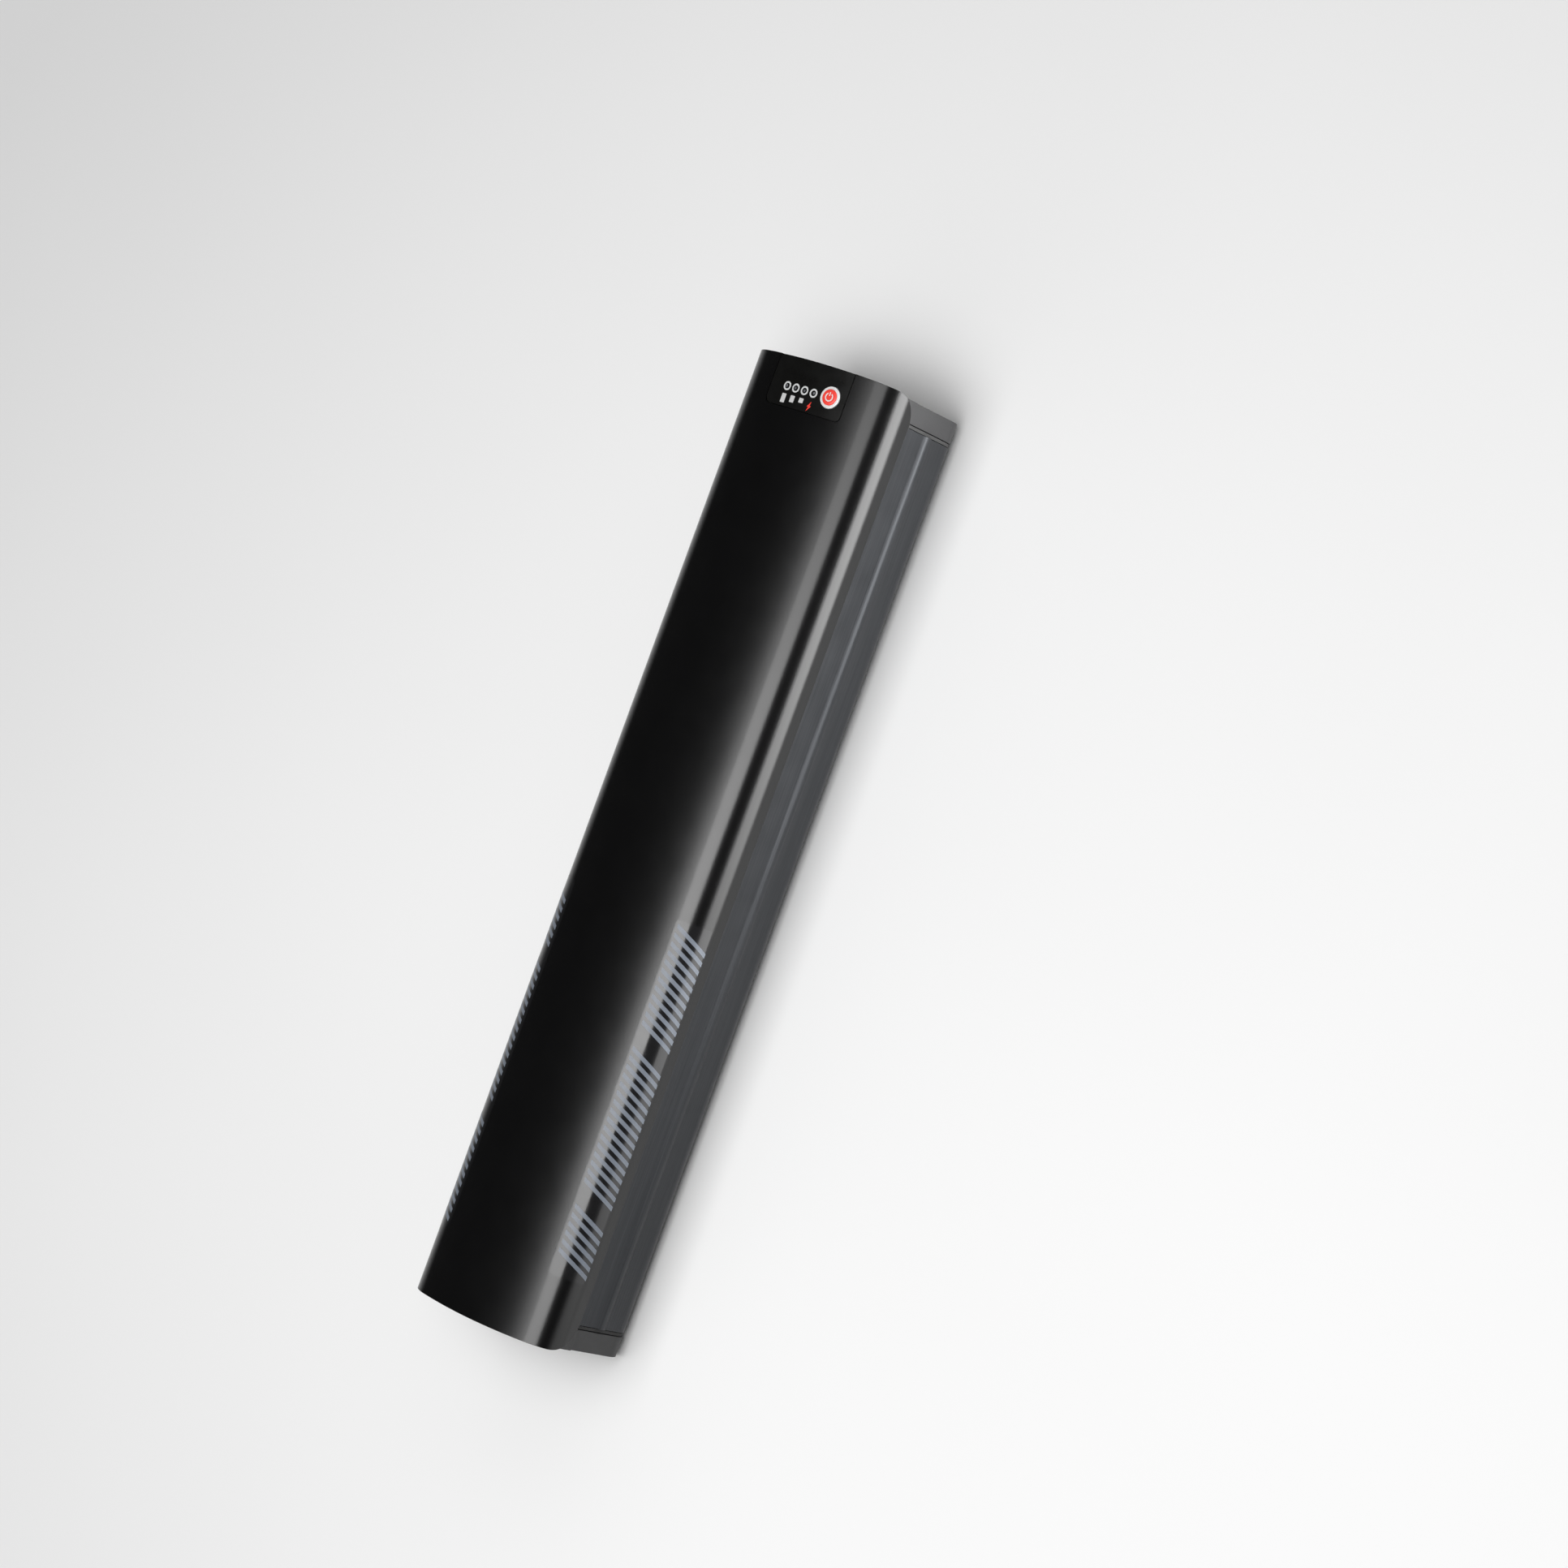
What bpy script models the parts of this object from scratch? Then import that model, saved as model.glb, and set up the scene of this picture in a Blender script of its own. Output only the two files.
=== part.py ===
"""Removable battery pack for the down tube of an electric bicycle.

The pack lies along +X, its indicator end at +X and its plug end at -X.  +Z points out of the
down tube through the crowned cover, and the origin is under the middle of the pack's base.
"""
import math

import bmesh
import bpy
from mathutils import Matrix, Vector

MM = 0.001
GAP = 0.3 * MM

# Cover: the crowned black lid that stays visible in the down tube
LENGTH = 392 * MM
END_BOW = 1 * MM
HALF_WIDTH = 37 * MM
HEIGHT = 62 * MM
CROWN_RADIUS = 120 * MM
SHOULDER_RADIUS = 13 * MM
SKIRT_DEPTH = 20 * MM
SKIRT_CORNER = 12 * MM
COVER_WALL = 2.4 * MM
EDGE_ROUND = 0.8 * MM

# Case: the extruded channel that slides into the down tube
CASE_LENGTH = 368 * MM
CASE_HALF_WIDTH = 33 * MM
CASE_WALL = 2 * MM
CASE_LIP = 1.3 * MM
CASE_LIP_BOTTOM = 38 * MM
CASE_TOP = 50 * MM
CASE_CORNER = 11 * MM
RAIL_HEIGHT = 23 * MM
RAIL_HALF_WIDTH = 1.6 * MM
RAIL_STAND = 1.2 * MM

# End caps, their gaskets and the screws that hold them
CAP_THICKNESS = 8.4 * MM
CAP_EDGE = 0.9 * MM
CAP_GAP = 0.4 * MM
GASKET_THICKNESS = 1.2 * MM
GASKET_INSET = 0.4 * MM
SPIGOT_HALF_WIDTH = 25.4 * MM
SPIGOT_BOTTOM = 3 * MM
SPIGOT_TOP = 48.5 * MM
SPIGOT_CORNER = 7 * MM
SPIGOT_DEPTH = 4 * MM
PORTS = ((28.8 * MM, 22.8 * MM), (30.1 * MM, 45.5 * MM))
PORT_OUTER = 2.8 * MM
PORT_BORE = 1.75 * MM
SHANK_RADIUS = 1.4 * MM
SHANK_LENGTH = 14 * MM
HEAD_RADIUS = 2.75 * MM
HEAD_HEIGHT = 2 * MM
HEX_RADIUS = 1.45 * MM
SCREW_HOLE = 1.8 * MM
COUNTERBORE_DEPTH = 2.4 * MM

# Cells: three wide, two deep and five long, joined end to end in two runs
CELL_RADIUS = 9.2 * MM
CELL_LENGTH = 65 * MM
CELL_GAP = 2 * MM
CELL_PITCH_Y = 19 * MM
CELL_HEIGHTS = (12.8 * MM, 32.8 * MM)
CELLS_LONG = 5
NUB_RADIUS = 3 * MM
NUB_HEIGHT = 0.8 * MM
CRADLE_HALF_WIDTH = 25.6 * MM
CRADLE_REACH = 3.5 * MM
CRADLE_TOP = 43.8 * MM
BOARD_SIZE = (230 * MM, 46 * MM, 1.6 * MM)
BOARD_BLOCKS = (
    ("heat_sink", (110 * MM, 12 * MM, 7 * MM), -30 * MM, 12 * MM),
    ("fuse", (14 * MM, 8 * MM, 5 * MM), -70 * MM, -12 * MM),
    ("balance_plug", (12 * MM, 24 * MM, 6 * MM), 96 * MM, 0 * MM),
)
CAPACITOR_X = 44 * MM
CAPACITOR_PITCH = 12 * MM
CAPACITOR_RADIUS = 4 * MM
CAPACITOR_HEIGHT = 9 * MM

# Indicator panel, button and lamps
PANEL_LENGTH = 19.8 * MM
PANEL_HALF_WIDTH = 18.7 * MM
PANEL_MIDDLE = 0.4 * MM
PANEL_THICKNESS = 1 * MM
PANEL_CORNERS = (3 * MM, 2 * MM)
PANEL_EDGE = 0.25 * MM
LAMP_SETBACK = 12.1 * MM
LAMP_PITCH = 4.52 * MM
FIRST_LAMP_Y = 10.2 * MM
LAMP_RADIUS = 1.15 * MM
BUTTON_SETBACK = 11.8 * MM
BUTTON_Y = -11.2 * MM
BUTTON_RADIUS = 4.35 * MM
BUTTON_TRAVEL = 0.6 * MM
DISC_RADIUS = 3.2 * MM
DISC_HEIGHT = 0.75 * MM
RING_HEIGHT = 0.3 * MM
BUTTON_EDGE = 0.3 * MM
BUTTON_FLANGE = 1.1 * MM
FLANGE_TOP = -2.7 * MM
FLANGE_BOTTOM = -3.5 * MM
PLUNGER_RADIUS = 1.6 * MM
PLUNGER_LENGTH = 3.8 * MM
SWITCH_TOP = -5.6 * MM
SWITCH_SIDE = 6.2 * MM
BOARD_TOP = 52.1 * MM
PANEL_BOARD_LENGTH = 14 * MM
PANEL_BOARD_WIDTH = 40 * MM
PANEL_BOARD_THICKNESS = 1.2 * MM
POST_RADIUS = 1.8 * MM
POST_TOP = 58.8 * MM
POST_SETBACK = 5 * MM
POST_Y = 17.5 * MM
SLOT_WIDTH = 3.4 * MM
GUIDE_WIDTH = 3 * MM
GUIDE_THICKNESS = 2 * MM
GUIDE_TOP = 57.2 * MM
LAMP_SINK = 0.15 * MM

# Plug end: the keyed socket that the frame's plug enters
SOCKET_HEIGHT = 22 * MM
SOCKET_SIZE = (34 * MM, 18 * MM)
SOCKET_DEPTH = 14.2 * MM
SOCKET_WALL = 2 * MM
SOCKET_FLANGE = 2 * MM
SOCKET_CORNER = 2 * MM
SOCKET_KEY = 3 * MM
CONTACTS = (
    ("power_contact_positive", 9 * MM, 6.3 * MM),
    ("signal_contact", 0 * MM, 3 * MM),
    ("power_contact_negative", -9 * MM, 6.3 * MM),
)
CONTACT_THICKNESS = 0.8 * MM
CONTACT_SETBACK = 3 * MM
CONTACT_LENGTH = 15.5 * MM

# Indicator end: the lock strike, and the charging socket under its rubber flap
STRIKE_CENTRE = (-13 * MM, 37 * MM)
STRIKE_SIZE = (26 * MM, 14 * MM)
STRIKE_WINDOW = (15 * MM, 7 * MM)
STRIKE_THICKNESS = 2 * MM
STRIKE_CORNER = 2 * MM
BOLT_DEPTH = 9.5 * MM
CHARGE_CENTRE = (12 * MM, 23 * MM)
CHARGE_RADIUS = 6.4 * MM
CHARGE_BORE = 4.3 * MM
CHARGE_DEPTH = 12 * MM
CHARGE_FLANGE = 7.6 * MM
FLANGE_THICKNESS = 1.4 * MM
FLAP_HALF_WIDTH = 9.1 * MM
FLAP_BELOW = 8.8 * MM
FLAP_THICKNESS = 1.8 * MM
HINGE_ABOVE = 11.4 * MM
FLAP_POCKET = FLAP_THICKNESS + 2 * GAP
PLUG_RADIUS = 3.6 * MM
PLUG_DEPTH = 1.4 * MM
TAB_STAND = 0.7 * MM
TAB_HEIGHT = 1.6 * MM

# Places worked out from the sizes above
SHOULDER_ANGLE = math.asin((HALF_WIDTH - SHOULDER_RADIUS) / (CROWN_RADIUS - SHOULDER_RADIUS))
CROWN_CENTRE = HEIGHT - CROWN_RADIUS
CASE_END = CASE_LENGTH / 2
GASKET_FACE = CASE_END + GAP + GASKET_THICKNESS
CAP_INNER = GASKET_FACE + GAP
CAP_OUTER = CAP_INNER + CAP_THICKNESS
LAMP_X = LENGTH / 2 - LAMP_SETBACK
BUTTON_X = LENGTH / 2 - BUTTON_SETBACK
BUTTON_TILT = math.asin(-BUTTON_Y / CROWN_RADIUS)
FLAP_OUTER = CAP_OUTER - GAP
FLAP_MIDDLE = FLAP_OUTER - FLAP_THICKNESS / 2

# How an outline drawn in (x, y) is laid: across the pack, along its side, or flat
ACROSS = Matrix(((0, 0, 1, 0), (1, 0, 0, 0), (0, 1, 0, 0), (0, 0, 0, 1)))
ALONG = Matrix.Rotation(math.pi / 2, 4, "X")
FLAT = Matrix.Identity(4)
TILT = Matrix.Rotation(BUTTON_TILT, 4, "X")

COLOURS = {
    "cover_black": ((0.012, 0.012, 0.013), 0.32, 0.0),
    "case_grey": ((0.05, 0.052, 0.056), 0.42, 0.8),
    "cap_black": ((0.02, 0.02, 0.021), 0.5, 0.0),
    "seal_rubber": ((0.012, 0.012, 0.012), 0.8, 0.0),
    "panel_charcoal": ((0.02, 0.02, 0.021), 0.55, 0.0),
    "button_red": ((0.62, 0.02, 0.03), 0.35, 0.0),
    "switch_grey": ((0.2, 0.2, 0.2), 0.5, 0.0),
    "board_green": ((0.01, 0.09, 0.03), 0.4, 0.0),
    "lamp_clear": ((0.35, 0.36, 0.37), 0.2, 0.0),
    "socket_black": ((0.015, 0.015, 0.016), 0.45, 0.0),
    "contact_brass": ((0.75, 0.55, 0.25), 0.25, 1.0),
    "strike_steel": ((0.55, 0.56, 0.57), 0.3, 1.0),
    "screw_steel": ((0.1, 0.1, 0.105), 0.35, 1.0),
    "cell_sleeve": ((0.02, 0.2, 0.25), 0.4, 0.0),
    "cradle_white": ((0.6, 0.6, 0.58), 0.6, 0.0),
}


def empty_scene():
    """Remove whatever objects the scene holds."""
    for existing in list(bpy.data.objects):
        bpy.data.objects.remove(existing, do_unlink=True)


def make_collection(name):
    collection = bpy.data.collections.new(name)
    bpy.context.scene.collection.children.link(collection)
    return collection


def make_material(name):
    colour, roughness, metallic = COLOURS[name]
    material = bpy.data.materials.new(name)
    material.use_nodes = True
    shader = material.node_tree.nodes["Principled BSDF"]
    shader.inputs["Base Color"].default_value = (*colour, 1)
    shader.inputs["Roughness"].default_value = roughness
    shader.inputs["Metallic"].default_value = metallic
    return material


empty_scene()
PARTS = make_collection("battery_pack")
CUTTERS = make_collection("battery_pack_cutters")
MATERIALS = {name: make_material(name) for name in COLOURS}


# --- outlines -----------------------------------------------------------------------------

def arc(centre, radius, start, end, steps):
    """Points along an arc, angles in radians, both ends included."""
    points = []
    for step in range(steps + 1):
        angle = start + (end - start) * step / steps
        points.append((centre[0] + radius * math.cos(angle), centre[1] + radius * math.sin(angle)))
    return points


def rounded(corners, steps):
    """A closed outline from (x, y, radius) corners, with each rounded corner as an arc."""
    outline = []
    for index, (x, y, radius) in enumerate(corners):
        if radius == 0:
            outline.append((x, y))
            continue
        corner = Vector((x, y))
        before = (Vector(corners[index - 1][:2]) - corner).normalized()
        after = (Vector(corners[(index + 1) % len(corners)][:2]) - corner).normalized()
        half = before.angle(after) / 2
        centre = corner + (before + after).normalized() * radius / math.sin(half)
        first = corner + before * radius / math.tan(half) - centre
        last = corner + after * radius / math.tan(half) - centre
        start = math.atan2(first.y, first.x)
        turn = math.remainder(math.atan2(last.y, last.x) - start, 2 * math.pi)
        outline += arc(centre, radius, start, start + turn, steps)
    return outline


def rectangle(centre, size, radius=0.0, steps=3):
    """A rectangle around a centre, with one corner radius."""
    half_x, half_y = size[0] / 2, size[1] / 2
    signs = ((-1, -1), (1, -1), (1, 1), (-1, 1))
    corners = [(centre[0] + half_x * a, centre[1] + half_y * b, radius) for a, b in signs]
    return rounded(corners, steps)


def crown_outline(inset, bottom):
    """The cover's cross-section in (y, z): skirts, shoulders and crown, moved in by inset."""
    offset = CROWN_RADIUS - SHOULDER_RADIUS
    centre_y = offset * math.sin(SHOULDER_ANGLE)
    centre_z = CROWN_CENTRE + offset * math.cos(SHOULDER_ANGLE)
    top = math.pi / 2 - SHOULDER_ANGLE
    right = [(HALF_WIDTH - inset, bottom)]
    right += arc((centre_y, centre_z), SHOULDER_RADIUS - inset, 0, top, 9)
    crown = arc((0, CROWN_CENTRE), CROWN_RADIUS - inset, top, math.pi - top, 14)
    left = [(-y, z) for y, z in reversed(right)]
    return right + crown[1:-1] + left


def case_outline(inset=0.0, top=CASE_TOP, rail_stand=0.0):
    """The case's cross-section in (y, z), closed across its top and moved in by inset."""
    wall = CASE_HALF_WIDTH - inset
    side = [(wall, inset, CASE_CORNER - inset)]
    if rail_stand:
        for offset, stand in ((-2, 0), (-1, 1), (1, 1), (2, 0)):
            side.append((wall + rail_stand * stand, RAIL_HEIGHT + RAIL_HALF_WIDTH * offset, 0))
    side.append((wall, CASE_LIP_BOTTOM - CASE_LIP, 0))
    side.append((wall + CASE_LIP, CASE_LIP_BOTTOM, 0))
    side.append((wall + CASE_LIP, top, 0))
    mirrored = [(-y, z, radius) for y, z, radius in reversed(side)]
    return rounded(side + mirrored, 6)


def end_line(right, left, offset=0.0, steps=10):
    """The cover's bowed end seen from above in (x, y), from one side to the other."""
    places = [right + (left - right) * step / steps for step in range(steps + 1)]
    return [(LENGTH / 2 - END_BOW * (y / HALF_WIDTH) ** 2 + offset, y) for y in places]


def panel_outline(margin):
    """The indicator panel seen from above in (x, y), grown by margin and past the cover's end."""
    inner = LENGTH / 2 - GAP - PANEL_LENGTH - margin
    right = PANEL_MIDDLE - PANEL_HALF_WIDTH - margin
    left = PANEL_MIDDLE + PANEL_HALF_WIDTH + margin
    near, far = PANEL_CORNERS
    outer = [(x, y, 0) for x, y in end_line(right, left, 10 * margin - GAP)]
    return rounded(outer + [(inner, left, near), (inner, right, far)], 4)


# --- solids -------------------------------------------------------------------------------

def add_object(name, mesh, frame, place):
    """Put a mesh in the parts' collection at a place, turned by a frame."""
    item = bpy.data.objects.new(name, mesh)
    PARTS.objects.link(item)
    item.matrix_world = Matrix.Translation(place) @ frame
    return item


def prism(name, outlines, length, frame, place):
    """Extrude closed outlines to both sides of a place; an outline inside another is a hole."""
    curve = bpy.data.curves.new(name, "CURVE")
    curve.dimensions = "2D"
    curve.fill_mode = "BOTH"
    curve.extrude = length / 2
    for outline in outlines:
        spline = curve.splines.new("POLY")
        spline.points.add(len(outline) - 1)
        for point, (x, y) in zip(spline.points, outline):
            point.co = (x, y, 0, 1)
        spline.use_cyclic_u = True
    drawn = add_object(name, curve, frame, place)
    bpy.context.view_layer.update()
    graph = bpy.context.evaluated_depsgraph_get()
    mesh = bpy.data.meshes.new_from_object(drawn.evaluated_get(graph))
    bpy.data.objects.remove(drawn, do_unlink=True)
    weld(mesh)
    return add_object(name, mesh, frame, place)


def weld(mesh):
    """Join a curve's loose caps to its walls."""
    work = bmesh.new()
    work.from_mesh(mesh)
    bmesh.ops.remove_doubles(work, verts=work.verts, dist=0.001 * MM)
    bmesh.ops.recalc_face_normals(work, faces=work.faces)
    work.to_mesh(mesh)
    work.free()


def rod(name, radius, length, frame, place, sides=16):
    """A plain cylinder centred on a place, along its frame's Z."""
    work = bmesh.new()
    bmesh.ops.create_cone(work, cap_ends=True, segments=sides, radius1=radius, radius2=radius,
                          depth=length)
    mesh = bpy.data.meshes.new(name)
    work.to_mesh(mesh)
    work.free()
    return add_object(name, mesh, frame, place)


def block(name, size, place, frame=FLAT):
    """A plain box centred on a place."""
    work = bmesh.new()
    bmesh.ops.create_cube(work, size=1)
    bmesh.ops.scale(work, vec=Vector(size), verts=work.verts)
    mesh = bpy.data.meshes.new(name)
    work.to_mesh(mesh)
    work.free()
    return add_object(name, mesh, frame, place)


def turned(name, profile, frame, place, sides=16):
    """A turned solid: (radius, height) points from the top of its axis to the bottom."""
    mesh = bpy.data.meshes.new(name)
    edges = [(index, index + 1) for index in range(len(profile) - 1)]
    mesh.from_pydata([(radius, 0, height) for radius, height in profile], edges, [])
    item = add_object(name, mesh, frame, place)
    screw = item.modifiers.new("Turn", "SCREW")
    screw.axis = "Z"
    screw.steps = sides
    screw.render_steps = sides
    screw.use_merge_vertices = True
    screw.merge_threshold = 0.001 * MM
    screw.use_smooth_shade = False
    return item


def combine(target, tools, operation):
    """Cut with, add or keep only what is inside each tool, which becomes a cutter."""
    for tool in tools:
        boolean = target.modifiers.new(tool.name, "BOOLEAN")
        boolean.object = tool
        boolean.operation = operation
        boolean.solver = "EXACT"
        PARTS.objects.unlink(tool)
        CUTTERS.objects.link(tool)
        tool.hide_render = True
        tool.display_type = "WIRE"
    return target


def cut(target, *tools):
    return combine(target, tools, "DIFFERENCE")


def add(target, *tools):
    return combine(target, tools, "UNION")


def keep(target, *tools):
    return combine(target, tools, "INTERSECT")


def bevel(item, width, segments=1):
    """Round the sharp edges that a piece has so far."""
    modifier = item.modifiers.new("Edges", "BEVEL")
    modifier.width = width
    modifier.segments = segments
    modifier.limit_method = "ANGLE"
    modifier.angle_limit = math.radians(50)
    return item


def finish(item, material):
    """Give a piece its material, and shade its round faces smooth."""
    item.data.materials.clear()
    item.data.materials.append(MATERIALS[material])
    item.data.shade_smooth()
    item.data.set_sharp_from_angle(angle=math.radians(35))
    return item


# --- the pack's shell ---------------------------------------------------------------------

def make_top_cover():
    """The crowned lid: skirts, bowed end walls, the panel's recess and the board's posts."""
    low = HEIGHT - SKIRT_DEPTH
    spare = 5 * MM
    cover = prism("top_cover", [crown_outline(0, low - spare)], LENGTH + spare, ACROSS, (0, 0, 0))
    side = rounded([(-LENGTH / 2, low, SKIRT_CORNER), (LENGTH / 2, low, SKIRT_CORNER),
                    (LENGTH / 2, HEIGHT + spare, 0), (-LENGTH / 2, HEIGHT + spare, 0)], 6)
    end = end_line(-HALF_WIDTH - spare, HALF_WIDTH + spare)
    ends = end + [(-x, -y) for x, y in end]
    keep(cover, prism("skirt_outline", [side], 3 * HALF_WIDTH, ALONG, (0, 0, 0)),
         prism("bowed_ends", [ends], 4 * HEIGHT, FLAT, (0, 0, 0)))
    bevel(cover, EDGE_ROUND, 2)
    cavity = prism("cover_cavity", [crown_outline(COVER_WALL, low - spare)],
                   LENGTH - 2 * (END_BOW + COVER_WALL), ACROSS, (0, 0, 0))
    mouth_height = CASE_TOP + CAP_GAP - low + spare
    mouth = block("cover_mouth", (LENGTH + spare, 2 * (HALF_WIDTH - COVER_WALL), mouth_height),
                  (0, 0, low - spare + mouth_height / 2))
    cut(cover, cavity, mouth, panel_band("panel_recess", -spare, PANEL_THICKNESS + GAP, GAP))
    cut(cover, button_rod("button_hole", BUTTON_RADIUS + GAP), lamp_slot())
    for side_sign in (-1, 1):
        bottom = BOARD_TOP + GAP
        add(cover, rod("board_post", POST_RADIUS, POST_TOP - bottom, FLAT,
                       (LAMP_X - POST_SETBACK, side_sign * POST_Y, (POST_TOP + bottom) / 2)))
    return finish(cover, "cover_black")


def make_lower_case():
    """The extruded channel: two walls with a lip and a guide rail, a floor and screw ports."""
    case = prism("lower_case", [case_outline(rail_stand=RAIL_STAND)], LENGTH, ACROSS, (0, 0, 0))
    inside = case_outline(inset=CASE_WALL, top=CASE_TOP + CASE_WALL)
    cut(case, prism("case_cavity", [inside], 2 * LENGTH, ACROSS, (0, 0, 0)))
    for y, z in port_places():
        add(case, rod("screw_port", PORT_OUTER, LENGTH - CASE_WALL, ACROSS, (0, y, z)))
    for y, z in port_places():
        cut(case, rod("screw_bore", PORT_BORE, 2 * LENGTH, ACROSS, (0, y, z), 12))
    keep(case, block("case_length", (CASE_LENGTH, 3 * HALF_WIDTH, 3 * HEIGHT), (0, 0, 0)))
    return finish(case, "case_grey")


def port_places():
    """The four screw ports' (y, z) places in the case's cross-section."""
    return [(side * y, z) for side in (-1, 1) for y, z in PORTS]


def make_end_cap(name, end):
    """An end cap without its sockets: a plate, its spigot and four counterbored holes."""
    plate = prism(name, [case_outline()], CAP_THICKNESS, ACROSS,
                  (end * (CAP_INNER + CAP_THICKNESS / 2), 0, 0))
    bevel(plate, CAP_EDGE, 2)
    depth = CAP_INNER - CASE_END + SPIGOT_DEPTH + GAP
    spigot = prism("spigot", [spigot_outline(0)], depth, ACROSS,
                   (end * (CASE_END - SPIGOT_DEPTH + depth / 2), 0, 0))
    add(plate, spigot)
    for y, z in port_places():
        middle = end * CAP_OUTER
        cut(plate, rod("screw_hole", SCREW_HOLE, 4 * CAP_THICKNESS, ACROSS, (middle, y, z), 12))
        cut(plate, rod("counterbore", HEAD_RADIUS + 2 * GAP, 2 * COUNTERBORE_DEPTH, ACROSS,
                       (middle, y, z)))
    return plate


def spigot_outline(margin):
    """The outline of the plug that enters the case's end, grown by margin."""
    size = (2 * (SPIGOT_HALF_WIDTH + margin), SPIGOT_TOP - SPIGOT_BOTTOM + 2 * margin)
    return rectangle((0, (SPIGOT_TOP + SPIGOT_BOTTOM) / 2), size, SPIGOT_CORNER, 4)


def end_pocket(name, end, outline, depth):
    """A cutter that sinks an outline into an end cap's outer face."""
    return prism(name, [outline], 2 * depth, ACROSS, (end * CAP_OUTER, 0, 0))


def make_lower_end_cap():
    """The plug end's cap, open for the discharge socket and its flange."""
    cap = make_end_cap("lower_end_cap", -1)
    centre = (0, SOCKET_HEIGHT)
    through = rectangle(centre, grown(SOCKET_SIZE, GAP), SOCKET_CORNER)
    flange = rectangle(centre, grown(SOCKET_SIZE, SOCKET_FLANGE + GAP), SOCKET_CORNER)
    cut(cap, end_pocket("socket_way", -1, through, 3 * CAP_THICKNESS))
    cut(cap, end_pocket("socket_seat", -1, flange, SOCKET_FLANGE + GAP))
    return finish(cap, "cap_black")


def make_upper_end_cap():
    """The indicator end's cap: the strike's seat, the flap's pocket and the charging socket's."""
    cap = make_end_cap("upper_end_cap", 1)
    seat = rectangle(STRIKE_CENTRE, grown(STRIKE_SIZE, GAP), STRIKE_CORNER)
    bolt_way = rectangle(STRIKE_CENTRE, grown(STRIKE_WINDOW, GAP), STRIKE_CORNER / 2)
    cut(cap, end_pocket("strike_seat", 1, seat, STRIKE_THICKNESS + GAP))
    cut(cap, end_pocket("bolt_way", 1, bolt_way, BOLT_DEPTH))
    y, z = CHARGE_CENTRE
    floor = CAP_OUTER - FLAP_POCKET
    low, high = z - FLAP_BELOW - GAP, z + HINGE_ABOVE + FLAP_THICKNESS
    pocket = rectangle((y, (low + high) / 2), (2 * (FLAP_HALF_WIDTH + GAP), high - low), MM)
    cut(cap, end_pocket("flap_pocket", 1, pocket, FLAP_POCKET))
    cut(cap, rod("charge_way", CHARGE_RADIUS + GAP, 4 * CAP_THICKNESS, ACROSS, (floor, y, z), 20))
    cut(cap, rod("charge_seat", CHARGE_FLANGE + GAP, 2 * (FLANGE_THICKNESS + GAP), ACROSS,
                 (floor, y, z), 20))
    return finish(cap, "cap_black")


def grown(size, margin):
    return tuple(side + 2 * margin for side in size)


def make_gasket(name, end):
    """A flat gasket between the case and an end cap, cut out for the spigot and the screws."""
    holes = [arc(place, SCREW_HOLE, 0, 11 / 6 * math.pi, 11) for place in port_places()]
    loops = [case_outline(GASKET_INSET, CASE_TOP - GASKET_INSET), spigot_outline(GAP)] + holes
    middle = end * (CASE_END + GAP + GASKET_THICKNESS / 2)
    gasket = prism(name, loops, GASKET_THICKNESS, ACROSS, (middle, 0, 0))
    return finish(gasket, "seal_rubber")


def make_screws():
    """Eight cap screws, four at each end, which share one turned and socketed shape."""
    profile = [(0, HEAD_HEIGHT), (HEAD_RADIUS - 0.4 * MM, HEAD_HEIGHT),
               (HEAD_RADIUS, HEAD_HEIGHT - 0.4 * MM), (HEAD_RADIUS, 0), (SHANK_RADIUS, 0),
               (SHANK_RADIUS, -SHANK_LENGTH), (0, -SHANK_LENGTH)]
    pattern = turned("screw_pattern", profile, FLAT, (0, 0, 0), 14)
    cut(pattern, rod("hex_socket", HEX_RADIUS, HEAD_HEIGHT, FLAT, (0, 0, HEAD_HEIGHT * 1.2), 6))
    mesh = evaluated_mesh(pattern)
    outward = CAP_OUTER - COUNTERBORE_DEPTH + GAP
    for end, word in ((-1, "lower"), (1, "upper")):
        turn = ACROSS if end > 0 else Matrix.Rotation(math.pi, 4, "Z") @ ACROSS
        for number, (y, z) in enumerate(port_places(), 1):
            screw = add_object(f"{word}_cap_screw_{number}", mesh, turn, (end * outward, y, z))
            finish(screw, "screw_steel")


def evaluated_mesh(item):
    """The mesh of a piece with its modifiers applied; the piece itself is removed."""
    bpy.context.view_layer.update()
    graph = bpy.context.evaluated_depsgraph_get()
    mesh = bpy.data.meshes.new_from_object(item.evaluated_get(graph))
    bpy.data.objects.remove(item, do_unlink=True)
    return mesh


# --- cells, cradles and boards ------------------------------------------------------------

def cell_axes(heights):
    return [(lane * CELL_PITCH_Y, height) for height in heights for lane in (1, 0, -1)]


def make_cells():
    """Thirty cells: the lower layer's run points to +X and the upper layer's back to -X."""
    low, high = -CELL_LENGTH / 2, CELL_LENGTH / 2
    rim = high - NUB_HEIGHT
    profile = [(0, high), (NUB_RADIUS, high), (NUB_RADIUS, rim), (CELL_RADIUS, rim),
               (CELL_RADIUS, low), (0, low)]
    mesh = evaluated_mesh(turned("cell_pattern", profile, FLAT, (0, 0, 0), 12))
    number = 0
    for row in range(CELLS_LONG):
        x = (row - (CELLS_LONG - 1) / 2) * (CELL_LENGTH + CELL_GAP)
        for y, z in cell_axes(CELL_HEIGHTS):
            number += 1
            turn = ACROSS if z == CELL_HEIGHTS[0] else Matrix.Rotation(math.pi, 4, "Z") @ ACROSS
            finish(add_object(f"cell_{number:02d}", mesh, turn, (x, y, z)), "cell_sleeve")


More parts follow.
